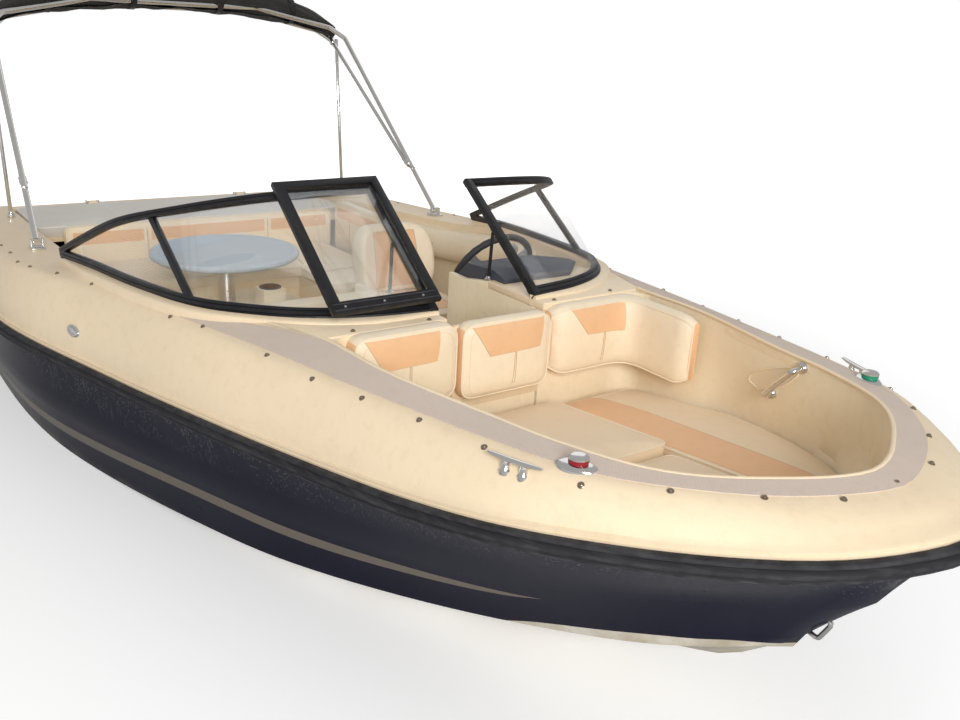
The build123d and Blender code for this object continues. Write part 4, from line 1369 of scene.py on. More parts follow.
    @classmethod
    def corner(cls, spec: Sequence, ox: float, deg: float) -> Vector:
        """Section corner: curve A, curve B, share of B, offset outward, offset upward or a fixed height.

        Args:
            spec: these five, the fixed height in a tuple.
            ox: where the section starts on the centreline.
            deg: its direction.

        Returns:
            The corner.
        """
        a, b, t, out, up = spec
        (ra, za), (rb, zb) = cls.hit(a, ox, deg), cls.hit(b, ox, deg)
        r = ra + t * (rb - ra) + out
        z = up[0] if isinstance(up, tuple) else za + t * (zb - za) + up
        angle = math.radians(deg)
        return Vector((ox + r * math.cos(angle), r * math.sin(angle), z))

    @classmethod
    def rows(cls, profile: Sequence[Sequence], places: Sequence[tuple[float, float]]) -> list[Row]:
        """Sections of a profile at each station."""
        return [[cls.corner(spec, ox, deg) for spec in profile] for ox, deg in places]


def flipped(obj: Piece) -> Piece:
    """Turns all faces of a piece over.

    Args:
        obj: the piece.

    Returns:
        The same piece.
    """
    pick(obj)
    bpy.ops.object.mode_set(mode="EDIT")
    bpy.ops.mesh.select_all(action="SELECT")
    bpy.ops.mesh.flip_normals()
    bpy.ops.object.mode_set(mode="OBJECT")
    return obj


def facing(obj: Piece, inside: Point, outward: bool = True) -> Piece:
    """Turns an open surface's faces away from a point, or towards it.

    Args:
        obj: the surface.
        inside: the point.
        outward: whether the faces look away from it.

    Returns:
        The same piece.
    """
    centre = Vector(inside)
    total = sum((f.center - centre).normalized().dot(f.normal) * f.area for f in obj.data.polygons)
    if (total > 0) != outward:
        flipped(obj)
    return obj


def recast(frame: dict, node: str, name: str, width: float = .002, segments: int = 2) -> Piece:
    """Copies a CAD node, merges its loose triangles and rounds its edges.

    Args:
        frame: the loaded frame.
        node: the CAD node.
        name: the new piece's name.
        width: edge radius.
        segments: steps of each rounded edge.

    Returns:
        The new piece, which still has to be fitted.
    """
    source = frame["nodes"][node]
    clear()
    mesh = source.data.copy()
    obj = bpy.data.objects.new(name, mesh)
    obj.data.name = name
    bpy.context.collection.objects.link(obj)
    for group in (obj, mesh):
        for key in list(group.keys()):
            del group[key]
    pick(obj)
    bpy.ops.object.mode_set(mode="EDIT")
    bpy.ops.mesh.select_all(action="SELECT")
    bpy.ops.mesh.remove_doubles(threshold=MERGE)
    bpy.ops.mesh.select_all(action="SELECT")
    bpy.ops.mesh.dissolve_limited(angle_limit=math.radians(2.0))
    bpy.ops.object.mode_set(mode="OBJECT")
    if mesh.has_custom_normals:
        bpy.ops.mesh.customdata_custom_splitnormals_clear()
    return ease(obj, width, segments) if width else smooth(obj)


def dress(frame: dict, *pieces: tuple) -> None:
    """Copies CAD nodes, rounds their edges and fits them.

    Args:
        frame: the loaded frame.
        *pieces: node, new name, edge radius, steps of the radius, finish, and body where it isn't the boat.
    """
    for node, name, width, segments, finish, *body in pieces:
        fit(recast(frame, node, name, width, segments), finish, node, body=body[0] if body else Body.BOAT)


def off(curve: Sequence[Point], *pairs: tuple[float, float]) -> list[tuple]:
    """Section corners at one curve, each pushed outward and upward."""
    return [(curve, curve, 0, out, up) for out, up in pairs]


def share(first: Sequence[Point], second: Sequence[Point], *rows: tuple[float, float, float]) -> list[tuple]:
    """Section corners between two curves, each at its share, pushed outward and upward."""
    return [(first, second, *row) for row in rows]


@dataclass
class Hull:
    """Bottom, topsides, transom and rub rail."""

    wall: float = .018
    hollow: float = .006
    tuck: float = .004
    vee: float = .024

    def bottom(self, ox: float, deg: float, t: float) -> Vector:
        """Point of the bottom on one section.

        Args:
            ox: where the section starts on the centreline.
            deg: the section's direction.
            t: share of the way from the keel to the chine.

        Returns:
            The point.
        """
        r, _ = Lines.hit(Lines.chine, ox, deg)
        angle = math.radians(deg)
        x, y = ox + t * r * math.cos(angle), t * r * math.sin(angle)
        yc, zc = Lines.at(Lines.chine, x)
        _, zk = Lines.at(Lines.keel, x)
        s = min(1.0, abs(y) / max(yc, 1e-4))
        return Vector((x, y, zk + (zc - zk) * s + self.vee * s * (1 - s)))

    def build(self) -> None:
        """Builds the hull shell and its rail."""
        rail, top = Lines.rail, Lines.topmid
        rows = []
        for ox, deg in Lines.stations(Lines.transom):
            row = [self.bottom(ox, deg, t / 6) for t in range(7)]
            for t in (k / 6 for k in range(1, 7)):
                row.append(Lines.corner((Lines.chine, top, t, -self.hollow * 4 * t * (1 - t), 0), ox, deg))
            for t in (k / 5 for k in range(1, 6)):
                row.append(Lines.corner((top, rail, t, -self.tuck * 4 * t * (1 - t), -.0004 * t), ox, deg))
            rows.append(row)
        shell = skin("hull_shell", rows)
        self.close_transom(shell)
        facing(mend(shell), (0, 0, .2))
        modify(shell, "SOLIDIFY", thickness=self.wall, offset=-1.0)
        fit(smooth(shell, 28.0), Palette.hull, "hull")
        section = [*off(rail, (.0008, .006), (.014, .0075), (.02, .004), (.0215, -.001), (.0195, -.0035),
                        (.0245, -.007), (.0288, -.012), (.0288, -.017), (.0245, -.022), (.0195, -.0245),
                        (.0215, -.028), (.018, -.034)),
                   (top, rail, .85, .0006, 0), *off(rail, (.0008, -.0004))]
        band = solid("rub_rail_extrusion", Lines.rows(section, Lines.stations(Lines.transom)), 50.0)
        stern = block("stern_rail", (-2.128, -1.173, .412), (-2.1004, 1.173, .448), .006, 3)
        fit(join("rub_rail_band", [band, stern]), Palette.rail, "rub_rail")

    def close_transom(self, shell: Piece) -> None:
        """Fills the open stern of the shell with one face.

        Args:
            shell: the open shell.
        """
        pick(shell)
        for vertex in shell.data.vertices:
            vertex.select = vertex.co.x < Lines.transom + 1e-4
        for edge in shell.data.edges:
            edge.select = all(shell.data.vertices[v].select for v in edge.vertices)
        for face in shell.data.polygons:
            face.select = False
        bpy.ops.object.mode_set(mode="EDIT")
        bpy.ops.mesh.select_mode(type="EDGE")
        bpy.ops.mesh.edge_face_add()
        bpy.ops.object.mode_set(mode="OBJECT")


@dataclass
class Deck:
    """Deck moulding, its non-slip strip, bead, coaming ledge and snaps."""

    step: float = .018
    snap_radius: float = .0075
    ledge: float = .046
    strip_edges: tuple[float, float] = (.045, .85)
    vent: Point = (.092, -1.017, .615)
    snaps: tuple[Point, ...] = (
        (-1.95, -.99, .62), (-1.6, -1.03, .64), (-1.25, -1.045, .655), (-.9, -1.06, .67), (-.7, -1.06, .68),
        (-.486, -1.071, .686), (-.366, -1.051, .693), (-.181, -.997, .702), (.061, -.938, .715), (.316, -.884, .728),
        (.593, -.844, .741), (.756, -.802, .748), (1.089, -.748, .762), (1.3, -.719, .768), (1.484, -.679, .774),
        (1.673, -.637, .78), (1.866, -.597, .786), (2.101, -.533, .793), (2.228, -.42, .8), (2.343, -.287, .8),
        (2.425, -.155, .8), (1.085, .49, .7912), (1.09, .24, .7912))

    def build(self) -> None:
        """Builds all deck pieces."""
        rail, sh, inner, step = Lines.rail, Lines.shoulder, Lines.inner, self.step
        section = [*off(rail, (-.003, 0.0), (-.003, step * .5), (-.006, step * .6), (-.006, step),
                        (-.0125, step + .003)),
                   *share(rail, sh, (.25, .004, .01), (.5, .011, .01), (.72, .013, .006), (.88, .011, .003),
                          (.96, .006, .001)),
                   *share(sh, inner, (.02, 0, .0005), (.1, 0, .001), (.5, 0, .001)),
                   *off(inner, (.006, 0), (.001, -.002), (0, -.007), (0, -.034), (.02, -.034), (.022, -.022)),
                   *off(sh, (-.012, -.024)), (rail, sh, .5, -.014, 0), *off(rail, (-.026, 0))]
        ring = solid("deck_ring", Lines.rows(section, Lines.stations(Lines.transom)), 48.0)
        fit(ring, Palette.cream, "deck")
        self.tree = surface_of(ring)
        self.fill_stern()
        self.fit_strip()
        bead = off(inner, (-.007, -.001), (-.0075, .002), (-.006, .0042), (-.003, .0055), (.001, .0052), (.004, .003),
                   (.005, .0008), (-.0004, .0004))
        fit(solid("well_bead", Lines.rows(bead, Lines.stations(1.113)), 60.0), Palette.cream,
            "bow_rim_bead")
        self.fit_snaps()
        self.fit_vent()
        self.fit_ledge()

    def fit_strip(self) -> None:
        """Lays the non-slip strip round the bow, narrowing aft."""
        low, high = self.strip_edges
        strip = []
        for ox, deg in Lines.stations(.45):
            taper = max(0.0, min(1.0, (1.12 - ox) / .67)) if abs(deg) == 90 else 0.0
            first = low + .71 * taper
            strip.append([Lines.corner((Lines.inner, Lines.shoulder, first + (high - first) * k / 4, 0, up), ox, deg)
                          for k, up in ((0, .0012), (0, .0034), (1, .0036), (2, .0036), (3, .0036), (4, .0034),
                                        (4, .0012))])
        fit(solid("deck_nonskid", strip, 30.0), Palette.nonskid, "nonskid_strip")

    def fill_stern(self) -> None:
        """Quarter panels, stern wall, console tops and the lid's lugs."""
        ends = []
        for side in (-1, 1):
            outline = [Vector((-2.0985, side * y, z)) for y, z in
                       ((1.147, .445), (1.135, .47), (1.112, .525), (1.078, .57), (1.05, .59), (.835, .594),
                        (.835, .445))]
            ends.append(prism("quarter_panel", outline, Vector((.0245, 0, 0)), .003))
        wall = [Vector((x, -.842, z)) for x, z in
                ((-2.1, .445), (-2.074, .445), (-2.066, .566), (-2.045, .57), (-2.045, .594), (-2.088, .592))]
        ends.append(prism("stern_wall", wall, Vector((0, 1.684, 0)), .004))
        for side in (-1, 1):
            outline = [Vector((x, side * y, .764)) for x, y in
                       ((.8, .184), (1.1056, .184), (1.1056, .606), (.8, .696))]
            ends.append(prism("console_top", outline, Vector((0, 0, .027)), .005, 3))
        fit(join("deck_fillings", ends), Palette.cream, "deck")
        pins = []
        for y in (-.42, .42):
            for lug in (-.03, .03):
                pins.append(block("lid_lug", (-2.062, y + lug - .006, .588), (-2.037, y + lug + .006, .608), .002))
            pins.append(lathe("lid_pin", [(.003, -.036), (.003, .036)], (-2.043, y, .602), (0, 1, 0), 16))
        fit(join("lid_lugs", pins), Palette.steel, "deck")

    def down(self, x: float, y: float, z: float) -> tuple[Vector, Vector]:
        """Point and normal of the deck under a place."""
        place, normal, *_ = self.tree.ray_cast(Vector((x, y, z + .2)), Vector(DOWN), .6)
        return (place, normal) if place is not None else (Vector((x, y, z)), Vector(UP))

    def fit_snaps(self) -> None:
        """Sets the cover snaps along both sides and round the bow."""
        r = self.snap_radius
        stud = [(r, -.001), (r, .0012), (r * .8, .0022), (r * .62, .0024), (r * .62, .0045), (r * .45, .0056),
                (r * .1, .006)]
        places = [(x, s * abs(y), z) for x, y, z in self.snaps for s in (-1, 1)] + [(2.44, 0, .8)]
        studs = [lathe("snap", stud, *self.down(*place), 14) for place in places]
        fit(join("cover_snaps", studs), Palette.snap)

    def fit_vent(self) -> None:
        """Sets the oval tank fitting in the near side deck."""
        seat, normal = self.down(*self.vent)
        along = (Vector((1, 0, 0)) - normal * normal.x).normalized()
        across = normal.cross(along)
        rows = [[seat + normal * height + (along * .04 * math.cos(a) + across * .02 * math.sin(a)) * grow
                 for a in around(40)]
                for height, grow in ((-.004, 1.0), (.003, 1.0), (.0058, .93), (.0066, .8), (.0056, .66),
                                     (.0048, .6), (.0048, .2))]
        fit(solid("tank_fitting", rows, 45.0), Palette.steel)

    def fit_ledge(self) -> None:
        """Raises the moulded ledge that carries the windshield."""
        base = fair(Windshield.base_line, 6)
        for side, tag in SIDES:
            rows = []
            for k, p in enumerate(base):
                here = Vector(p)
                run = Vector(base[min(k + 1, len(base) - 1)]) - Vector(base[max(k - 1, 0)])
                out = Vector((-run.y, run.x, 0)).normalized()
                if out.dot(Vector((.3, 1.0, 0))) < 0:
                    out = -out
                reach = self.ledge * min(1.0, .3 + .12 * min(k, len(base) - 1 - k))
                row = []
                for push, drop in ((-.014, -.033), (-.014, 0), (reach - .01, 0), (reach - .003, -.003),
                                   (reach, -.01), (reach, -.045)):
                    spot = here + out * push
                    row.append(Vector((spot.x, side * spot.y, here.z + .003 + drop)))
                rows.append(row)
            fit(solid("windshield_ledge_" + tag, rows, 50.0), Palette.cream)


@dataclass
class BowWell:
    """Seat liner, cushions, backrests, handles and the walk-through door of the bow."""

    slope: float = .107
    seam: float = .0045
    piping: float = .0055
    seat_foot: float = .3945
    seat_crown: float = .026
    seat_corner: float = .035
    back_crown: float = .022
    back_corner: float = .045
    back_roll: float = .034
    swell: float = .005
    gap: float = .04
    cove: float = .075
    levels: tuple[tuple[float, float], ...] = ((.05, .74), (.1, .68), (.14, .62), (.2, .56), (.34, .49), (.6, .43),
                                               (.86, .395), (1.0, .384))
    undercut: tuple[float, ...] = (.006, .02, .036, .052, .066, .05, .01, 0.0)
    hollow: tuple[tuple[float, float], ...] = (
        (1.654, .65), (1.66, .672), (1.7, .702), (1.755, .729), (1.81, .752), (1.85, .762), (1.858, .748),
        (1.835, .722), (1.784, .676), (1.743, .65), (1.7, .638))

    def build(self, frame: dict) -> None:
        """Builds the well and its upholstery.

        Args:
            frame: the loaded frame.
        """
        liner = self.liner()
        for side, tag in SIDES:
            rows = []
            for t, z in ((0.0, .786),) + self.levels:
                wall = Lines.corner((Lines.inner, Lines.low, t, 0, (z,)), 1.18, 90.0).y
                mid = Vector((1.1056 + self.cove, wall - self.cove, z))
                row = [mid + Vector((math.cos(a), math.sin(a), 0)) * self.cove
                       for a in (math.radians(180 - 11.25 * k) for k in range(9))]
                row += [Vector((mid.x, wall + .004, z)), Vector((1.101, wall + .004, z)), Vector((1.101, mid.y, z))]
                rows.append([Vector((v.x, side * v.y, v.z)) for v in row])
            fit(solid("well_corner_" + tag, rows, 50.0), Palette.liner)
        self.cushions()
        self.backrests(frame)
        for side, tag in SIDES:
            self.handle(liner, side, tag)

    def liner(self) -> Piece:
        """Wall and floor of the well, run out under the deck's rim.

        Returns:
            The wall.
        """
        section = [*off(Lines.inner, (-.0006, -.001)), *((Lines.inner, Lines.low, t, 0, (z,)) for t, z in self.levels)]
        places = Lines.stations(1.103)
        rows = Lines.rows(section, places)
        for (ox, deg), row in zip(places, rows):
            part = max(0.0, min(1.0, (ox - 1.4) / .16)) if abs(deg) == 90 else 1.0
            for point, more in zip(row[1:], self.undercut):
                ray = Vector((point.x - ox, point.y, 0))
                most = Lines.breadth(ox, deg, point.z) - self.gap
                point.xy = (ray.normalized() * min(ray.length + more * part, most)).xy + Vector((ox, 0))
        liner = facing(skin("well_liner", rows), (1.6, 0, .6), outward=False)
        modify(liner, "SOLIDIFY", thickness=.012, offset=-1.0)
        fit(smooth(liner, 40.0), Palette.liner, "bow_liner")
        plan = [(1.113, .555)] + [(x, y + .01) for x, y in ((1.41, .493), (1.65, .433), (1.9, .353), (2.05, .241),
                                                             (2.16, .133), (2.23, .043))]
        outline = [Vector((x, y, .378)) for x, y in plan] + [Vector((x, -y, .378)) for x, y in plan[::-1]]
        fit(prism("well_seat_base", outline, Vector((0, 0, .016))), Palette.liner, "bow_liner")
        return liner

    def handle(self, liner: Piece, side: int, tag: str) -> None:
        """Grab handle on its two feet and the moulded edge of the hollow behind it.

        Args:
            liner: the well's wall.
            side: 1 for the far side, -1 for the near side.
            tag: the side's name.
        """
        edge = seam("grip_hollow_" + tag, liner, [(x, side * .45, z) for x, z in self.hollow], (0, side, 0), .006,
                    closed=True)
        fit(edge, Palette.liner)
        bar = [(x, side * y, z) for x, y, z in ((1.76, .522, .652), (1.763, .476, .656), (1.8, .464, .698),
                                                (1.862, .45, .764), (1.87, .486, .772))]
        feet = [lathe("grip_foot", [(.017, -.002), (.017, .003), (.011, .007), (.009, .012)], (x, side * y, z),
                      (0, -side, 0), 20) for x, y, z in ((1.76, .52, .652), (1.87, .484, .772))]
        grip = tube("grip_bar_" + tag, bar, .018, .016, sides=5)
        fit(join("grab_handle_" + tag, [grip, *feet]), Palette.steel, "bow_grab_handles")

    def rim(self, plan: Sequence[tuple[float, float]], top: float) -> Row:
        """Rim outline that rises forward."""
        return [Vector((x, y, top - .022 + self.slope * (x - 1.25))) for x, y in plan]

    def cushion(self, name: str, node: str, low: Sequence[tuple[float, float]], high: Sequence[tuple[float, float]],
                top: float) -> Piece:
        """One tapered seat cushion with its piping.

        Args:
            name: the cushion's name.
            node: the CAD node that it stands for.
            low: plan of its underside.
            high: plan of its seam, with as many corners.
            top: height of its crown aft.

        Returns:
            The cushion.
        """
        rim = self.rim(high, top)
        base = [Vector((x, y, self.seat_foot)) for x, y in low]
        pad = plump(name, base, rim, Vector((0, 0, self.seat_crown)), self.seat_corner, self.swell)
        fit(pad, Palette.seat, node)
        pipe(pad, rim, self.seat_corner, self.piping)
        return pad

    def cushions(self) -> None:
        """Three seat cushions, the far one with its tan band."""
        far = self.cushion(
            "seat_far", "bow_cushion_port",
            [(1.19, .195), (2.085, .195), (2.06, .222), (2.02, .252), (1.96, .3), (1.9, .344), (1.75, .396),
             (1.6, .434), (1.52, .452), (1.41, .484), (1.19, .518)],
            [(1.19, .197), (2.235, .197), (2.17, .32), (2.09, .396), (2.0, .452), (1.9, .494), (1.75, .535),
             (1.6, .562), (1.52, .558), (1.41, .53), (1.19, .535)], .49)
        near = self.cushion(
            "seat_near_aft", "bow_cushion_aft",
            [(1.19, .187), (1.68, .187), (1.68, -.18), (1.68, -.405), (1.6, -.432), (1.52, -.452), (1.41, -.484),
             (1.19, -.518)],
            [(1.19, .189), (1.688, .189), (1.682, -.18), (1.672, -.545), (1.6, -.56), (1.52, -.556),
             (1.41, -.528), (1.19, -.532)], .512)
        fore = self.cushion(
            "seat_near_fore", "bow_cushion_forward",
            [(1.7, .187), (2.08, .187), (2.088, -.187), (2.06, -.222), (2.02, -.252), (1.96, -.3), (1.9, -.344),
             (1.75, -.396), (1.7, -.404)],
            [(1.7, .189), (2.235, .189), (2.235, -.192), (2.17, -.318), (2.09, -.394), (2.0, -.45), (1.9, -.492),
             (1.75, -.533), (1.7, -.541)], .482)
        band = [(1.196, .204, .6), (2.19, .204, .6), (2.1, .305, .6), (1.196, .345, .6)]
        panel("seat_far_band", far, band, DOWN, (40, 6))
        stitch("seat_far_band_seam", far, band[2:4], DOWN, self.seam)
        stitch("seat_near_seam", near, [(1.22, -.16, .6), (1.66, -.16, .6)], DOWN, self.seam)
        stitch("seat_fore_seam", fore, [(1.73, -.16, .6), (2.18, -.1, .6)], DOWN, self.seam)

    def backrest(self, name: str, body: Body, node: str, y: tuple[float, float], z: tuple[float, float], x0: float,
                 depth: float, tan: Sequence[tuple[float, float]]) -> None:
        """One backrest with tan sides, its tan shield and centre seam.

        Args:
            name: the backrest's name.
            body: what it rides on.
            node: the CAD node that it stands for.
            y: its sides.
            z: its foot and head.
            x0: its back plane.
            depth: its thickness.
            tan: corners of the tan shield in y and z, top first.
        """
        (y0, y1), (z0, z1) = y, z
        ring = ((y0, z0), (y1, z0), (y1, z1), (y0, z1))
        base = [Vector((x0, a, b)) for a, b in ring]
        rim = [Vector((x0 + depth - .014, a, b)) for a, b in ring]
        pad = plump(name, base, rim, Vector((self.back_crown, 0, 0)), self.back_corner, self.swell, self.back_roll)
        fit(pad, Palette.vinyl, node, body=body)
        gusset(pad, lambda face: face.normal.x < .42 and face.normal.z < .5)
        self.shield(name, body, pad, x0 + depth + .1, z0, tan)
        pipe(pad, rim, self.back_corner, self.piping, body)

    def shield(self, name: str, body: Body, pad: Piece, front: float, foot: float,
               tan: Sequence[tuple[float, float]]) -> None:
        """Tan shield at the head of a pad and the seams round and under it.

        Args:
            name: the pad's name.
            body: what it rides on.
            pad: the pad.
            front: a plane ahead of the pad.
            foot: height of the pad's foot.
            tan: corners of the shield in y and z, top first.
        """
        corners = [(front, a, b) for a, b in tan]
        panel(name + "_shield", pad, corners, AFT, (12, 10), body)
        stitch(name + "_shield_seam", pad, corners[1:] + corners[:1], AFT, .003, body)
        middle, low = (tan[2][0] + tan[3][0]) / 2, tan[2][1]
        for side in (-.0025, .0025):
            line = [(front, middle + side, low), (front, middle + side * 1.6, foot + .03)]
            stitch(name + "_centre", pad, line, AFT, .0026, body)

    def wrapped(self) -> None:
        """The far backrest, swept round the corner of the well and along its wall."""
        sides = []
        for corner, bend in ((((1.1066, .189), (1.1066, .553), (1.44, .549)), .05),
                             (((1.176, .189), (1.176, .502), (1.44, .497)), .085)):
            eased = eased_path([(*p, 0) for p in corner], bend, steps=10)
            first = [eased[0].lerp(eased[1], k / 10) for k in range(10)]
            last = [eased[-2].lerp(eased[-1], (k + 1) / 10) for k in range(10)]
            sides.append(first + eased[1:-1] + last)
        count = len(sides[0])
        profile = ((0, .56), (0, .784), (.35, .7905), (.68, .788), (.86, .778), (.96, .762), (1.03, .735), (1.07, .7),
                   (1.085, .668), (1.07, .635), (1.03, .6), (.96, .578), (.86, .564), (.5, .558))
        rows, rim = [], []
        for k, (back, front) in enumerate(zip(*sides)):
            near = min(k, count - 1 - k)
            full, inset = ((.62, .02), (.86, .006), (.97, .001))[near] if near < 3 else (1.0, 0.0)
            row = []
            for u, z in profile:
                spot = back.lerp(front, u * full)
                spot.z = z + (inset if z < .67 else -inset)
                row.append(spot)
            rows.append(row)
            rim.append((row[4], row[12]))
        pad = solid("back_far", rows, 55.0)
        fit(pad, Palette.vinyl, "bow_backrest_port")
        gusset(pad, lambda face: face.normal.z < -.75 or (face.center.y < .2 and face.normal.y < -.6)
               or (face.center.x > 1.43 and face.normal.x > .6))
        self.shield("back_far", Body.BOAT, pad, 1.3, .558, ((.247, .781), (.472, .777), (.466, .687), (.318, .69)))
        loop = [top for top, _ in rim] + [low for _, low in rim[::-1]]
        fit(tube("back_far_piping", loop, self.piping, closed=True), Palette.piping)

    def backrests(self, frame: dict) -> None:
        """Three backrests and the walk-through door.

        Args:
            frame: the loaded frame.
        """
        self.backrest("back_near", Body.BOAT, "bow_backrest_starboard", (-.525, -.187), (.566, .79), 1.1064, .07,
                      ((-.497, .783), (-.255, .783), (-.268, .698), (-.446, .694)))
        self.backrest("back_door", Body.BOW_DOOR, "bow_backrest_door", (-.168, .163), (.548, .782), 1.124, .058,
                      ((-.14, .775), (.128, .775), (.112, .686), (-.08, .682)))
        self.wrapped()
        dress(frame, ("bow_door", "walk_through_door", .0012, 2, Palette.cream, Body.BOW_DOOR))
        skirt = block("walk_through_skirt", (1.1092, -.166, .397), (1.1236, .16, .501), .003)
        fit(skirt, Palette.liner, body=Body.BOW_DOOR)


@dataclass
class Windshield:
    """Panes, frames, posts and the folded walk-through door."""

    base_line = ((1.048, .184, .8), (1.01, .39, .798), (.935, .555, .796), (.8, .69, .79), (.64, .772, .778),
                 (.3, .852, .76), (-.05, .903, .746), (-.35, .937, .722))
    head_line = ((.634, .182, 1.107), (.64, .4, 1.106), (.606, .548, 1.095), (.525, .655, 1.07),
                 (.4, .735, 1.034), (.15, .85, .96), (-.13, .902, .852), (-.372, .935, .752))
    foot_rail = ((-.004, -.011), (.034, -.011), (.034, .006), (.031, .01), (.022, .011), (.0205, .0085),
                 (.0185, .0085), (.017, .011), (.006, .011), (.0045, .0085), (.002, .0085), (.0, .011), (-.004, .009))
    head_rail = ((-.022, -.011), (.0, -.011), (.004, -.006), (.004, .006), (.0, .011), (-.009, .011), (-.0105, .009),
                 (-.0125, .009), (-.014, .011), (-.022, .01))
    mullion: tuple[Point, Point] = ((.61, .78, .779), (.278, .792, .998))
    mullion_step: int = 36
    screw: float = .0042
    half_pane: float = .0025

    def axes(self, side: int) -> list[tuple[Vector, Vector, Vector, Vector]]:
        """Runs along one pane from the opening aft.

        Args:
            side: 1 for the far side, -1 for the near side.

        Returns:
            Foot, head, upward and outward directions at each step.
        """
        feet, heads = fair(self.base_line, 8), fair(self.head_line, 8)
        run = []
        for k, (foot, head) in enumerate(zip(feet, heads)):
            behind, ahead = Vector(feet[max(k - 1, 0)]), Vector(feet[min(k + 1, len(feet) - 1)])
            foot, head = Vector(foot), Vector(head)
            up = (head - foot).normalized()
            out = (ahead - behind).cross(up).normalized()
            run.append(tuple(Vector((v.x, side * v.y, v.z)) for v in (foot, head, up, out)))
        return run

    def bar(self, name: str, ends: tuple[Vector, Vector], out: Vector, width: float, depth: float) -> Piece:
        """Straight frame bar with eased edges.

        Args:
            name: the bar's name.
            ends: its two ends.
            out: its outward direction.
            width: its width along the pane.
            depth: its thickness through the pane.

        Returns:
            The bar.
        """
        way = (ends[1] - ends[0]).normalized()
        flat = (out - way * out.dot(way)).normalized() * depth / 2
        wide = way.cross(flat).normalized() * width / 2
        outline = [ends[0] + wide * a + flat * b for a, b in ((-1, -1), (1, -1), (1, 1), (-1, 1))]
        return prism(name, outline, ends[1] - ends[0], .0022)

    def panes(self) -> None:
        """Curved rails, end posts, mullions and glass of both wings."""
        bars, glass = [], []
        for side in (1, -1):
            run = self.axes(side)
            for profile, head in ((self.foot_rail, False), (self.head_rail, True)):
                rows = [[(top if head else foot) + up * a + out * m for a, m in profile] for foot, top, up, out in run]
                bars.append(solid("pane_rail", rows, 35.0))
            foot, top, up, out = run[0]
            step = Vector((0, side * .013, 0))
            bars.append(self.bar("pane_post", (foot - up * .002 + step, top + step), out, .026, .024))
            low, high = (Vector((x, side * y, z)) for x, y, z in self.mullion)
            bars.append(self.bar("pane_mullion", (low, high), run[self.mullion_step][3], .022, .018))
            rows = []
            for foot, top, up, out in run[:-6]:
                low, high, half = foot + up * .032, top - up * .019, out * self.half_pane
                rows.append([low - half, high - half, high + half, low + half])
            rows[0] = [p + step * 1.6 for p in rows[0]]
            glass.append(solid("pane_glass", rows, 30.0))
        fit(join("screen_frames", bars), Palette.frame, "windshield_frame")
        fit(join("screen_panes", glass), Palette.glass, "windshield_glass")

    def build(self, frame: dict) -> None:
        """Builds the wings, dresses the folded door and adds its fasteners.

        Args:
            frame: the loaded frame.
        """
        self.panes()
        dress(frame, ("windshield_struts", "screen_props", .001, 1, Palette.frame),
              ("windshield_door_frame", "screen_door_frame", .0018, 2, Palette.frame, Body.SCREEN_DOOR),
              ("windshield_door_glass", "screen_door_pane", .0006, 1, Palette.glass, Body.SCREEN_DOOR))
        low, high = Vector((1.052, -.182, .818)), Vector((.645, -.181, 1.118))
        along = (high - low).normalized()
        fold = Vector((-.026, -1, 0))
        fold = (fold - along * fold.dot(along)).normalized()
        lift = fold.cross(along).normalized()
        if lift.z < 0:
            lift = -lift
        face = low + lift * .036
        head = [(self.screw, -.001), (self.screw, .0006), (.0035, .0022), (.0006, .0026)]
        screws = [lathe("door_screw", head, face + fold * u + along * .02, lift, 16) for u in (.06, .19, .315)]
        fit(join("screen_door_screws", screws), Palette.brushed, body=Body.SCREEN_DOOR)
        grooves = [tube("door_groove", [face + fold * u + along * v for u in (.01, .35)], .0028) for v in (.01, .031)]
        fit(join("screen_door_beads", grooves), Palette.dash, body=Body.SCREEN_DOOR)
        feet = []
        for side in (-1, 1):
            feet.append(lathe("prop_foot", [(.014, 0), (.014, .003), (.009, .006), (.008, .012)],
                              (.785, side * .197, .7905), UP, 20))
            feet.append(lathe("prop_joint", [(.007, -.009), (.009, -.006), (.009, .006), (.007, .009)],
                              (.797, side * .197, .965), (0, 1, 0), 20))
        fit(join("prop_fittings", feet), Palette.steel)


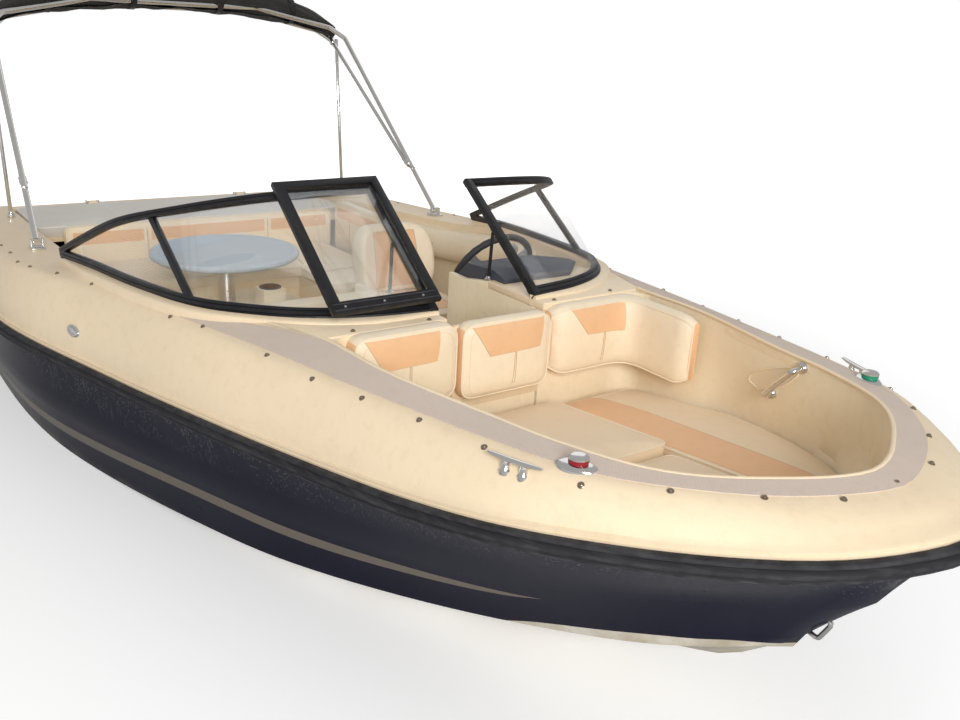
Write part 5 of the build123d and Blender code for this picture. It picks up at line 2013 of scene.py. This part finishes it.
@dataclass
class Helm:
    """Consoles, dash, wheel and throttle."""

    centre: tuple[float, float, float] = (.398, .5, .69)
    axis: tuple[float, float, float] = (-.893, 0, .4495)
    rim: float = .176
    grip: float = .0135
    brow: tuple[tuple[float, float], ...] = ((.5625, .59), (.578, .59), (.64, .731), (.7, .742), (.7, .76),
                                             (.625, .75))
    gauge_places: tuple[tuple[float, float, float], ...] = ((.3, .026, .62), (.375, .04, .6), (.5, .026, .72),
                                                            (.56, .026, .45), (.465, .04, .6))

    def build(self, frame: dict) -> None:
        """Builds both consoles and the controls.

        Args:
            frame: the loaded frame.
        """
        dress(frame, ("helm_console", "console_helm", .004, 3, Palette.liner),
              ("companion_console", "console_companion", .0012, 2, Palette.liner))
        for side, tag in SIDES:
            low, high = sorted((side * .66, side * .775))
            wing = block("console_wing", (.5625, low, .085), (.5765, high, .598), .002)
            outline = [Vector((x, side * .63, z)) for x, z in self.brow]
            brow = prism("console_brow", outline, Vector((0, side * .115, 0)), .002)
            fit(join("console_side_" + tag, [wing, brow]), Palette.liner)
        dress(frame, ("dash_hood", "dash_brow", .009, 4, Palette.hood),
              ("instrument_panel", "dash_panel", .003, 3, Palette.dash),
              ("steering_column", "wheel_column", .002, 2, Palette.dash))
        self.gauges()
        self.wheel()
        dress(frame, ("throttle_box", "throttle_housing", .005, 3, Palette.dash),
              ("throttle_lever", "throttle_handle", .0015, 2, Palette.brushed, Body.THROTTLE))

    def gauges(self) -> None:
        """Round instruments and rocker switches on the panel."""
        low, high = Vector((.5594, 0, .6117)), Vector((.6066, 0, .7329))
        up = (high - low).normalized()
        out = Vector((-up.z, 0, up.x))
        dials, faces, marks, rockers = [], [], [], []
        for y, radius, part in self.gauge_places:
            seat = low.lerp(high, part) + Vector((0, y, 0))
            bezel = [(radius, -.001), (radius, .004), (radius * .93, .0065), (radius * .84, .0055),
                     (radius * .82, .002)]
            dials.append(lathe("bezel", bezel, seat, out, 36))
            faces.append(lathe("dial", [(radius * .82, .0), (radius * .82, .0021), (.001, .0022)], seat, out, 36))
            for k in range(9):
                angle = math.radians(225 - 33.75 * k)
                way = Vector((0, 1, 0)) * math.cos(angle) + up * math.sin(angle)
                ends = [seat + out * .0024 + way * radius * reach for reach in (.6, .74)]
                marks.append(tube("mark", ends, .0012, sides=1))
            root = seat + out * .0026
            tip = root + (up + Vector((0, .6, 0))).normalized() * radius * .55
            marks.append(tube("needle", [root, tip], .0013, sides=1))
        for k in range(5):
            seat = low.lerp(high, .2) + Vector((0, .29 + k * .045, 0))
            rockers.append(lathe("switch", [(.011, -.001), (.011, .003), (.008, .006), (.001, .0065)], seat, out, 12))
        for name, parts, finish in (("gauge_bezels", dials, Palette.steel), ("gauge_faces", faces, Palette.dial),
                                    ("gauge_marks", marks, Palette.pointer),
                                    ("dash_switches", rockers, Palette.grey)):
            fit(join(name, parts), finish)

    def wheel(self) -> None:
        """Rim with finger grips, three spokes and a hub."""
        centre, axis = Vector(self.centre), Vector(self.axis).normalized()
        side = Vector((0, 1, 0))
        up = axis.cross(side).normalized()
        rows = []
        for a in around(96):
            out = side * math.cos(a) + up * math.sin(a)
            thick = self.grip * (1 + .05 * math.cos(a * 24))
            rows.append([centre + out * (self.rim + thick * math.cos(b)) + axis * thick * math.sin(b)
                         for b in around(16)])
        rows.append(rows[0])
        fit(smooth(skin("wheel_rim", rows, closed=True), 60.0), Palette.dash, "steering_wheel", body=Body.WHEEL)
        spokes = []
        for degrees in (0, 125, 235):
            a = math.radians(degrees + 90)
            out = side * math.cos(a) + up * math.sin(a)
            across = out.cross(axis)
            run = []
            for part, half, depth in ((.0, .024, -.016), (.35, .018, -.014), (.7, .014, -.008), (1.0, .017, -.001)):
                middle = centre + out * (.02 + (self.rim - .026) * part) + axis * depth
                run.append([middle + across * half * c + axis * .005 * s for c, s in
                            ((1, .2), (.85, 1), (-.85, 1), (-1, .2), (-.9, -1), (.9, -1))])
            spokes.append(solid("spoke", run, 40.0))
        fit(join("wheel_spokes", spokes), Palette.grey, "steering_wheel", body=Body.WHEEL)
        hub = lathe("wheel_hub", [(.033, -.043), (.033, -.018), (.04, -.012), (.04, -.004), (.034, .002),
                                  (.012, .0045), (.001, .005)], centre, axis, 40)
        fit(hub, Palette.dash, "steering_wheel", body=Body.WHEEL)


@dataclass
class Cockpit:
    """Liner, sole, seats, table and sun pad."""

    seam: float = .0045
    inset: float = .006
    pad_rise: float = .02
    pad_corner: float = .04
    pad_swell: float = .005
    pad_piping: float = .0075
    back_rise: float = .018
    back_corner: float = .035
    back_swell: float = .004
    back_piping: float = .007
    slot_x: float = -.575
    seat_centre: tuple[float, float] = (-.12, .45)
    table_centre: tuple[float, float] = (-.79, -.15)

    def build(self, frame: dict) -> None:
        """Builds the cockpit's pieces.

        Args:
            frame: the loaded frame.
        """
        dress(frame, ("cockpit_liner", "cockpit_shell", .006, 3, Palette.liner),
              ("seat_bases", "locker_fronts", .008, 3, Palette.liner),
              ("engine_bulkhead", "bay_bulkhead", .003, 2, Palette.liner),
              ("engine_block", "engine_mass", .012, 3, Palette.iron),
              ("engine_hatch", "lid_panel", .0008, 1, Palette.cream, Body.LID))
        fit(block("sole_mat", (-1.42, -.6, .0798), (1.05, .46, .0818), 0), Palette.sole)
        self.seats()
        self.sides()
        self.helm_seat(frame)
        self.table(frame)

    def pad(self, name: str, node: str, low: Point, high: Point, body: Body = Body.BOAT,
            finish: Finish | None = None, piping: Finish | None = None) -> Piece:
        """A level pad between two corners, piped round its top.

        Args:
            name: the pad's name.
            node: the CAD node that it stands for.
            low: its lowest corner.
            high: its highest corner.
            body: what it rides on.
            finish: its vinyl, cream where not given.
            piping: finish of the piping.

        Returns:
            The pad.
        """
        (x0, y0, z0), (x1, y1, z1) = low, high
        e, rise = self.inset, self.pad_rise
        rim = [Vector((x, y, z1 - rise)) for x, y in ((x0, y0), (x1, y0), (x1, y1), (x0, y1))]
        base = [Vector((x, y, z0)) for x, y in ((x0 + e, y0 + e), (x1 - e, y0 + e), (x1 - e, y1 - e), (x0 + e, y1 - e))]
        pad = plump(name, base, rim, Vector((0, 0, rise)), self.pad_corner, self.pad_swell)
        fit(pad, finish or Palette.vinyl, node, body=body)
        pipe(pad, rim, self.pad_corner, self.pad_piping, body, piping)
        return pad

    def upright(self, name: str, node: str, low: Point, high: Point, way: Vector) -> Piece:
        """A standing pad whose crowned face looks along way.

        Args:
            name: the pad's name.
            node: the CAD node that it stands for.
            low: its lowest corner.
            high: its highest corner.
            way: +X, or +Y or -Y, in which its face looks.

        Returns:
            The pad.
        """
        (x0, y0, z0), (x1, y1, z1) = low, high
        if abs(way.x) > .5:
            back, front = (x0, x1) if way.x > 0 else (x1, x0)
            ring = [(y0, z0), (y1, z0), (y1, z1), (y0, z1)]
            base = [Vector((back, a, b)) for a, b in ring]
            rim = [Vector((front - way.x * self.back_rise, a, b)) for a, b in ring]
        else:
            back, front = (y0, y1) if way.y > 0 else (y1, y0)
            ring = [(x0, z0), (x1, z0), (x1, z1), (x0, z1)]
            base = [Vector((a, back, b)) for a, b in ring]
            rim = [Vector((a, front - way.y * self.back_rise, b)) for a, b in ring]
        pad = plump(name, base, rim, way * self.back_rise, self.back_corner, self.back_swell)
        fit(pad, Palette.vinyl, node)
        pipe(pad, rim, self.back_corner, self.back_piping)
        return pad

    def seats(self) -> None:
        """Bench, lounge and their backs, with tan bands and channels."""
        inboard = (0, 1, 0)
        bench = self.pad("bench_pad", "bench_cushion", (-1.4, -.64, .3725), (-.94, .64, .44))
        back = self.upright("bench_back", "bench_backrest", (-1.471, -.7, .385), (-1.4003, .7, .6),
                            Vector((1, 0, 0)))
        lounge = self.pad("lounge_pad", "lounge_cushion", (-.936, .29, .3725), (-.56, .7, .44))
        wing = self.upright("lounge_back", "lounge_backrest", (-1.38, .7003, .376), (-.56, .77, .65),
                            Vector((0, -1, 0)))
        for y in (-.32, 0.0, .32):
            stitch("bench_channel", bench, [(-1.38, y, .6), (-.96, y, .6)], DOWN, self.seam)
            stitch("bench_back_channel", back, [(-1.2, y, .42), (-1.2, y, .58)], AFT, self.seam)
        for k, (y0, y1) in enumerate(((-.67, -.34), (-.3, .3), (.34, .67))):
            panel(f"bench_back_band_{k}", back,
                  [(-1.2, y0, .575), (-1.2, y1, .575), (-1.2, y1, .515), (-1.2, y0, .515)], AFT, (14, 4))
        for x in (-1.18, -.98, -.78):
            stitch("lounge_channel", wing, [(x, .5, .4), (x, .5, .63)], inboard, self.seam)
        panel("lounge_band", wing, [(-1.34, .5, .625), (-.6, .5, .625), (-.6, .5, .572), (-1.34, .5, .572)],
              inboard, (20, 4))
        stitch("lounge_seam", lounge, [(-.75, .31, .6), (-.75, .68, .6)], DOWN, self.seam)
        sun = self.pad("sun_pad", "sunpad", (-2.029, -.808, .5455), (-1.492, .808, .612), Body.LID, Palette.pale,
                       Palette.white_piping)
        for y in (-.4, 0.0, .4):
            stitch("sun_pad_seam", sun, [(-2.01, y, .8), (-1.51, y, .8)], DOWN, self.seam, Body.LID,
                   Palette.white_piping)

    def sides(self) -> None:
        """Padded bolsters along both sides with a recessed grip."""
        last = 33
        for side, tag in SIDES:
            rows = []
            for k in range(last + 1):
                x = -1.3 + 1.6 * k / last
                y, z = Lines.at(Lines.inner, x)
                full = min(1.0, .25 + min(k, last - k) * .35)
                profile = ((-.001, -.041), (.03 * full, -.044), (.052 * full, -.06), (.062 * full, -.09),
                           (.064 * full, -.13), (.054 * full, -.165), (.03 * full, -.18), (-.001, -.18))
                row = []
                for dy, dz in profile:
                    lean = .018 * ((-.0346 - dz) / max(.05, z - .0346 - .33))
                    row.append(Vector((x, side * (y - .004 - lean - dy), z + dz)))
                rows.append(row)
            pad = solid("side_pad_" + tag, rows, 50.0)
            fit(pad, Palette.vinyl, "side_bolsters")
            y, z = Lines.at(Lines.inner, -.58)
            centre = Vector((self.slot_x, side * (y - .068), z - .11))
            corners = [centre + Vector((x, 0, q)) for x, q in ((-.06, -.014), (.06, -.014), (.06, .014), (-.06, .014))]
            slot = tube("side_slot_" + tag, resampled(corners, .013, 4, 5), .007, closed=True)
            fit(slot, Palette.steel)

    def helm_seat(self, frame: dict) -> None:
        """Bucket seat on its swivel.

        Args:
            frame: the loaded frame.
        """
        dress(frame, ("helm_pedestal", "seat_post", .002, 2, Palette.brushed),
              ("helm_swivel_plate", "seat_swivel", .003, 2, Palette.brushed, Body.SEAT))
        seat = self.pad("helm_pad", "helm_seat_cushion", (-.32, .245, .3668), (.09, .655, .45), Body.SEAT)
        panel("helm_pad_panel", seat, [(-.27, .33, .6), (.05, .33, .6), (.05, .57, .6), (-.27, .57, .6)], DOWN,
              body=Body.SEAT)
        for y in (.325, .575):
            stitch("helm_pad_seam", seat, [(-.3, y, .6), (.075, y, .6)], DOWN, self.seam, Body.SEAT)
        cx, cy = self.seat_centre
        rows = []
        levels = ((.4505, -.2, .168, .07, .0), (.47, -.203, .178, .078, .6), (.52, -.213, .19, .082, 1),
                  (.58, -.226, .196, .084, 1), (.64, -.237, .194, .08, 1), (.69, -.245, .184, .072, 1),
                  (.725, -.251, .165, .062, .9), (.742, -.254, .135, .046, .6), (.7455, -.25, .09, .02, .2))
        for z, x, w, t, wing in levels:
            shape = ((-.01, 0), (0, -w * .6), (.004, -w * .92), (.03, -w - .002), (.03 + t * .6 * wing, -w - .001),
                     (t + .04 * wing, -w + .006), (t + .043 * wing, -w + .024), (t + .026 * wing, -w + .046),
                     (t + .006, -w * .5), (t - .002, 0))
            ring = [Vector((cx + x + dx, cy + dy, z)) for dx, dy in shape]
            rows.append(ring + [Vector((cx + x + dx, cy - dy, z)) for dx, dy in shape[-2:0:-1]])
        shell = skin("helm_back", rows, closed=True, caps=True)
        modify(shell, "SUBSURF", levels=1, render_levels=1)
        fit(smooth(shell, 50.0), Palette.vinyl, "helm_seat_back", body=Body.SEAT)
        corners = [(-.1, .345, .72), (-.1, .555, .72), (-.1, .565, .48), (-.1, .335, .48)]
        panel("helm_back_panel", shell, corners, AFT, (10, 12), Body.SEAT)
        stitch("helm_back_seam", shell, corners, AFT, self.seam, Body.SEAT, closed=True)

    def table(self, frame: dict) -> None:
        """Round table, its pedestal and the cup holder.

        Args:
            frame: the loaded frame.
        """
        edge = [(.001, -.034), (.3, -.034), (.322, -.032), (.331, -.026), (.335, -.017), (.333, -.008),
                (.327, -.002), (.318, .0), (.309, -.0012), (.3, -.003), (.29, -.0034), (.001, -.0034)]
        fit(lathe("table_disc", edge, (*self.table_centre, .585), UP, 96), Palette.table, "table_top")
        dress(frame, ("table_pedestal", "table_leg", .002, 2, Palette.brushed))
        skirt = lathe("table_skirt", [(.06, 0), (.085, .012), (.12, .022), (.128, .0235)],
                      (*self.table_centre, .527))
        fit(skirt, Palette.brushed, "table_pedestal")
        dress(frame, ("cup_holder_box", "drink_box", .004, 3, Palette.liner))
        cup = lathe("cup_insert", [(.0375, -.098), (.0375, -.001), (.0475, -.0005), (.0475, .003), (.044, .0045),
                                   (.0365, .003), (.0355, -.096), (.001, -.0965)], (-.39, -.105, .5), UP, 40)
        fit(cup, Palette.dash)


@dataclass
class Bimini:
    """Folded canvas top, its bows and props."""

    half_span: float = .868
    thick: float = .09
    taper: float = .05
    oval: tuple[float, float] = (1.12, .98)
    turns: float = 1.75
    line: tuple[Point, ...] = ((-1.706, .868, 1.543), (-1.728, .8, 1.578), (-1.752, .64, 1.632),
                               (-1.766, .33, 1.68), (-1.77, 0.0, 1.694))

    def build(self, frame: dict) -> None:
        """Builds bows, fittings and the stowed canvas.

        Args:
            frame: the loaded frame.
        """
        dress(frame, ("bimini_bows", "top_bows", .0008, 1, Palette.steel, Body.BIMINI),
              ("bimini_mounts", "top_mounts", .0012, 2, Palette.steel),
              ("bimini_struts", "top_props", .0008, 1, Palette.steel, Body.STRUTS))
        jaw = [(.0132, -.022), (.0165, -.018), (.0165, .018), (.0132, .022)]
        jaws = [lathe("jaw", jaw, (x, side * y, z), (ax, side * ay, az), 24) for side in (-1, 1)
                for (x, y, z), (ax, ay, az) in (((-.975, .937, .91), (-.096, -.007, .043)),
                                                ((-1.715, .868, 1.49), (-.712, -.067, .568)))]
        fit(join("top_jaws", jaws), Palette.steel, body=Body.BIMINI)
        self.canvas()

    def size(self, y: float) -> float:
        """Radius of the roll at a place across the boat."""
        return self.thick - self.taper * (abs(y) / self.half_span) ** 3.0

    def canvas(self) -> None:
        """Canvas wound and gathered round the bows, with its straps."""
        wide, tall = self.oval
        roll = fair([(-y, x, z) for x, y, z in self.line] + [(y, x, z) for x, y, z in self.line[-2::-1]], 10)
        rows = []
        steps = 84
        for y, x, z in roll:
            row = []
            for t in (j / (steps - 1) for j in range(steps)):
                a = 2 * math.pi * self.turns * t + .5
                wave = (.055 * math.sin(5 * a + 3.1 * math.sin(4.1 * y)) + .04 * math.sin(9 * a + 17 * y)
                        + .035 * math.sin(23 * y + 2 * a) + .03 * math.sin(41 * y - 3 * a))
                r = self.size(y) * (.62 + .3 * t) * (1 + wave * (.4 + .6 * t))
                row.append(Vector((x + wide * r * math.cos(a), y, z + tall * r * math.sin(a))))
            rows.append(row)
        cloth = skin("stowed_canvas", rows)
        modify(cloth, "SOLIDIFY", thickness=.0016, offset=0.0)
        fit(smooth(mend(cloth), 70.0), Palette.canvas, "bimini_canvas", body=Body.BIMINI)
        for k, y in enumerate((-.62, -.22, .22, .62)):
            _, x, z = min(roll, key=lambda p: abs(p[0] - y))
            size, centre = self.size(y) * .965, Vector((x, y, z))
            ring = [Vector((x + wide * size * math.cos(a), y, z + tall * size * math.sin(a))) for a in around(40)]
            strap = [[p + Vector((0, s, 0)) + (p - centre).normalized() * h
                      for s, h in ((-.013, 0), (-.013, .0022), (.013, .0022), (.013, 0))] for p in ring]
            strap.append(strap[0])
            fit(smooth(skin(f"canvas_strap_{k}", strap, closed=True), 40.0), Palette.frame, body=Body.BIMINI)


@dataclass
class Fittings:
    """Lamps, cleats and bow eye."""

    horn: float = .13
    lamp_turn: float = -28.0

    def build(self, frame: dict) -> None:
        """Builds the deck hardware.

        Args:
            frame: the loaded frame.
        """
        for (side, tag), lens in zip(SIDES, (Palette.green, Palette.red)):
            self.lamp(side, tag, lens)
        self.cleats()
        dress(frame, ("bow_eye", "towing_eye", .001, 2, Palette.steel))

    def lamp(self, side: int, tag: str, lens: Finish) -> None:
        """One side lamp: its oval base, the lens and the cap.

        Args:
            side: 1 for the far side, -1 for the near side.
            tag: the side's name.
            lens: finish of the lens.
        """
        turn = Matrix.Rotation(math.radians(side * self.lamp_turn), 3, "Z")
        seat = Vector((2.052, side * .505, .79))
        rows = []
        for height, grow in ((-.006, 1.0), (.003, 1.0), (.008, .95), (.012, .82), (.0143, .62)):
            rows.append([seat + turn @ Vector((.05 * grow * math.cos(a) * (1.0 if math.cos(a) > 0 else .9),
                                               .0285 * grow * math.sin(a), height)) for a in around(40)])
        fit(solid("lamp_base_" + tag, rows, 50.0), Palette.steel, "nav_light_bases")
        top = (2.056, side * .503, .8043)
        band = lathe("lamp_lens_" + tag, [(.0205, .0), (.0215, .003), (.0215, .0095), (.0195, .0115), (.001, .0115)],
                     top, sides=32)
        fit(band, lens, "nav_lens_" + tag)
        cap = lathe("lamp_cap_" + tag, [(.0195, .0105), (.0222, .0108), (.0222, .0135), (.0185, .0172),
                                        (.011, .0193), (.001, .0199)], top, sides=32)
        fit(cap, Palette.steel)

    def cleats(self) -> None:
        """Four cleats, each a horn on two feet."""
        horns = []
        for x, y, z, degrees in ((1.965, .592, .79, -20), (1.965, -.592, .79, 20), (-1.93, .96, .634, 0),
                                 (-1.93, -.96, .634, 0)):
            spin = Matrix.Rotation(math.radians(degrees), 3, "Z")
            seat = Vector((x, y, z))
            rows = []
            for t in (-1 + k / 12 for k in range(25)):
                half = .0085 * (1 - abs(t) ** 3 * .45)
                rows.append([seat + spin @ Vector((t * self.horn / 2, half * math.cos(a),
                                                   .003 * abs(t) ** 2 - .001 + half * .62 * math.sin(a)))
                             for a in around(12)])
            horns.append(solid("cleat_horn", rows, 60.0))
            for foot in (-.022, .022):
                place = seat + spin @ Vector((foot, 0, -.034))
                horns.append(lathe("cleat_foot", [(.014, 0), (.014, .008), (.009, .014), (.0078, .034)], place, UP,
                                   20))
        fit(join("deck_cleats", horns), Palette.steel, "cleats")


@dataclass
class Drive:
    """Swim platform, transom shield, bracket, leg and propeller."""

    deck_z: float = .395
    shaft: tuple[float, float, float] = (-2.652, 0, -.56)

    def build(self, frame: dict) -> None:
        """Dresses the stern gear.

        Args:
            frame: the loaded frame.
        """
        dress(frame, ("swim_platform", "platform", .014, 4, Palette.cream))
        side = ((-2.16, -.94), (-2.46, -.94), (-2.57, -.85), (-2.6, -.67))
        outline = [Vector((x, y, self.deck_z + .0004)) for x, y in (*side, *((x, -y) for x, y in side[::-1]))]
        fit(prism("platform_tread", outline, Vector((0, 0, .002)), 0), Palette.nonskid)
        dress(frame, ("transom_shield", "shield_plate", .006, 3, Palette.drive),
              ("steering_bracket", "gimbal_bracket", .002, 3, Palette.drive, Body.BRACKET),
              ("drive_leg", "drive_casing", .006, 3, Palette.drive, Body.DRIVE))
        self.propeller()

    def propeller(self) -> None:
        """Three twisted blades on a hub."""
        centre = Vector(self.shaft)
        parts = [lathe("hub", [(.0155, -.054), (.03, -.054), (.04, -.04), (.046, -.01), (.046, .054),
                               (.0155, .054)], centre, (1, 0, 0), 36)]
        for degrees in (0, 120, 240):
            spin = Matrix.Rotation(math.radians(degrees), 3, "X")
            rows = []
            for s in (k / 8 for k in range(9)):
                half = .046 * math.sin(math.pi * (.22 + .7 * s)) ** .8 + .004
                pitch = math.radians(62 - 34 * s)
                thick = .0045 * (1 - .75 * s)
                rows.append([centre + spin @ Vector((c * half * math.cos(pitch) + h * thick,
                                                     c * half * math.sin(pitch), .04 + .136 * s))
                             for c, h in ((-1, 0), (-.5, .8), (0, 1), (.5, .8), (1, 0), (.5, -.8), (0, -1),
                                          (-.5, -.8))])
            parts.append(solid("blade", rows, 60.0))
        fit(join("propeller_wheel", parts), Palette.blade, "propeller", body=Body.PROPELLER)


@dataclass
class Studio:
    """Floor, backdrop, lamps and the camera."""

    place: tuple[float, float, float] = (3.276, -1.664, 1.613)
    azimuth: float = 53.492
    elevation: float = 19.83
    roll: float = -3.111
    pixels: float = 925.0
    floor: float = 60.0
    shine: float = .45
    sky: float = .47
    pale: float = .9
    mirrored: float = .3
    shade: tuple[float, float, float] = (2.4, 7.0, .28)
    lights: tuple[tuple[str, Point, float, float], ...] = (("key", (8.4, -3.6, 4.0), 3.0, 540.0),
                                                           ("fill", (-5.0, 5.0, 5.0), 6.0, 70.0))

    def build(self) -> None:
        """Sets the stage."""
        self.camera()
        self.ground()
        self.lamps()

    def camera(self) -> None:
        """The photograph's camera."""
        a, e, r = (math.radians(v) for v in (self.azimuth, self.elevation, self.roll))
        ahead = Vector((-math.sin(a) * math.cos(e), math.cos(a) * math.cos(e), -math.sin(e)))
        right = Vector((math.cos(a), math.sin(a), 0))
        down = ahead.cross(right)
        right2 = right * math.cos(r) + down * math.sin(r)
        down2 = down * math.cos(r) - right * math.sin(r)
        data = bpy.data.cameras.new("camera")
        data.sensor_width = 36.0
        data.lens = self.pixels * 36.0 / 960.0
        data.clip_start = .05
        data.clip_end = 200.0
        camera = bpy.data.objects.new("camera", data)
        bpy.context.collection.objects.link(camera)
        turn = Matrix((right2, -down2, -ahead)).transposed().to_4x4()
        camera.matrix_world = Matrix.Translation(Vector(self.place)) @ turn
        bpy.context.scene.camera = camera

    def rays(self, w: Wiring) -> tuple[bpy.types.NodeSocket, bpy.types.NodeSocket]:
        """Rays that see the stage directly or through glass, and glossy ones.

        Args:
            w: the wiring of the floor or the sky.

        Returns:
            Masks of both.
        """
        path = w.add("LightPath")
        seen = w.math("MAXIMUM", path.outputs["Is Camera Ray"], path.outputs["Is Transmission Ray"])
        return seen, path.outputs["Is Glossy Ray"]

    def ground(self) -> None:
        """Pale floor at the waterline, white to the camera and darker in reflections, and the sky."""
        clear()
        bpy.ops.mesh.primitive_plane_add(size=self.floor, location=(0, 0, 0))
        floor = bpy.context.object
        floor.name = "water_plane"
        made = bpy.data.materials.new("pale_floor")
        made.use_nodes = True
        w = Wiring(made.node_tree)
        shader = made.node_tree.nodes["Principled BSDF"]
        shader.inputs["Base Color"].default_value = (self.pale, self.pale, self.pale, 1)
        shader.inputs["Roughness"].default_value = .9
        shader.inputs["Emission Strength"].default_value = 1.0
        off = w.add("VectorMath", {0: w.add("TexCoord").outputs["Object"]}, operation="LENGTH").outputs["Value"]
        far = w.ramp(off, *self.shade, 1.0)
        seen, glossy = self.rays(w)
        glow = w.math("MULTIPLY", w.math("MAXIMUM", seen, w.math("MULTIPLY", glossy, self.shine)), far)
        w.link(glow, shader.inputs["Emission Color"])
        w.link(w.ramp(glossy, 0.0, 1.0, self.pale, self.mirrored), shader.inputs["Base Color"])
        floor.data.materials.append(made)
        world = bpy.data.worlds.new("sky")
        bpy.context.scene.world = world
        world.use_nodes = True
        w = Wiring(world.node_tree)
        background = world.node_tree.nodes["Background"]
        seen, glossy = self.rays(w)
        strength = w.math("MAXIMUM", w.ramp(seen, 0.0, 1.0, self.sky, 1.0), w.math("MULTIPLY", glossy, self.shine))
        w.link(strength, background.inputs["Strength"])
        background.inputs["Color"].default_value = (1, 1, 1, 1)

    def lamps(self) -> None:
        """One large key, one fill."""
        for name, place, size, power in self.lights:
            data = bpy.data.lights.new(name, "AREA")
            data.size = size
            data.energy = power
            lamp = bpy.data.objects.new(name, data)
            lamp.location = place
            bpy.context.collection.objects.link(lamp)
            lamp.rotation_euler = (-Vector(place)).to_track_quat("-Z", "Y").to_euler()


def main() -> None:
    """Builds the boat in order."""
    logging.basicConfig(level=logging.INFO, format="%(name)s %(message)s")
    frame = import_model()
    bpy.context.scene.view_settings.view_transform = "Standard"
    Studio().build()
    Hull().build()
    Deck().build()
    BowWell().build(frame)
    Windshield().build(frame)
    Helm().build(frame)
    Cockpit().build(frame)
    Bimini().build(frame)
    Fittings().build(frame)
    Drive().build(frame)


if __name__ == "__main__":
    main()
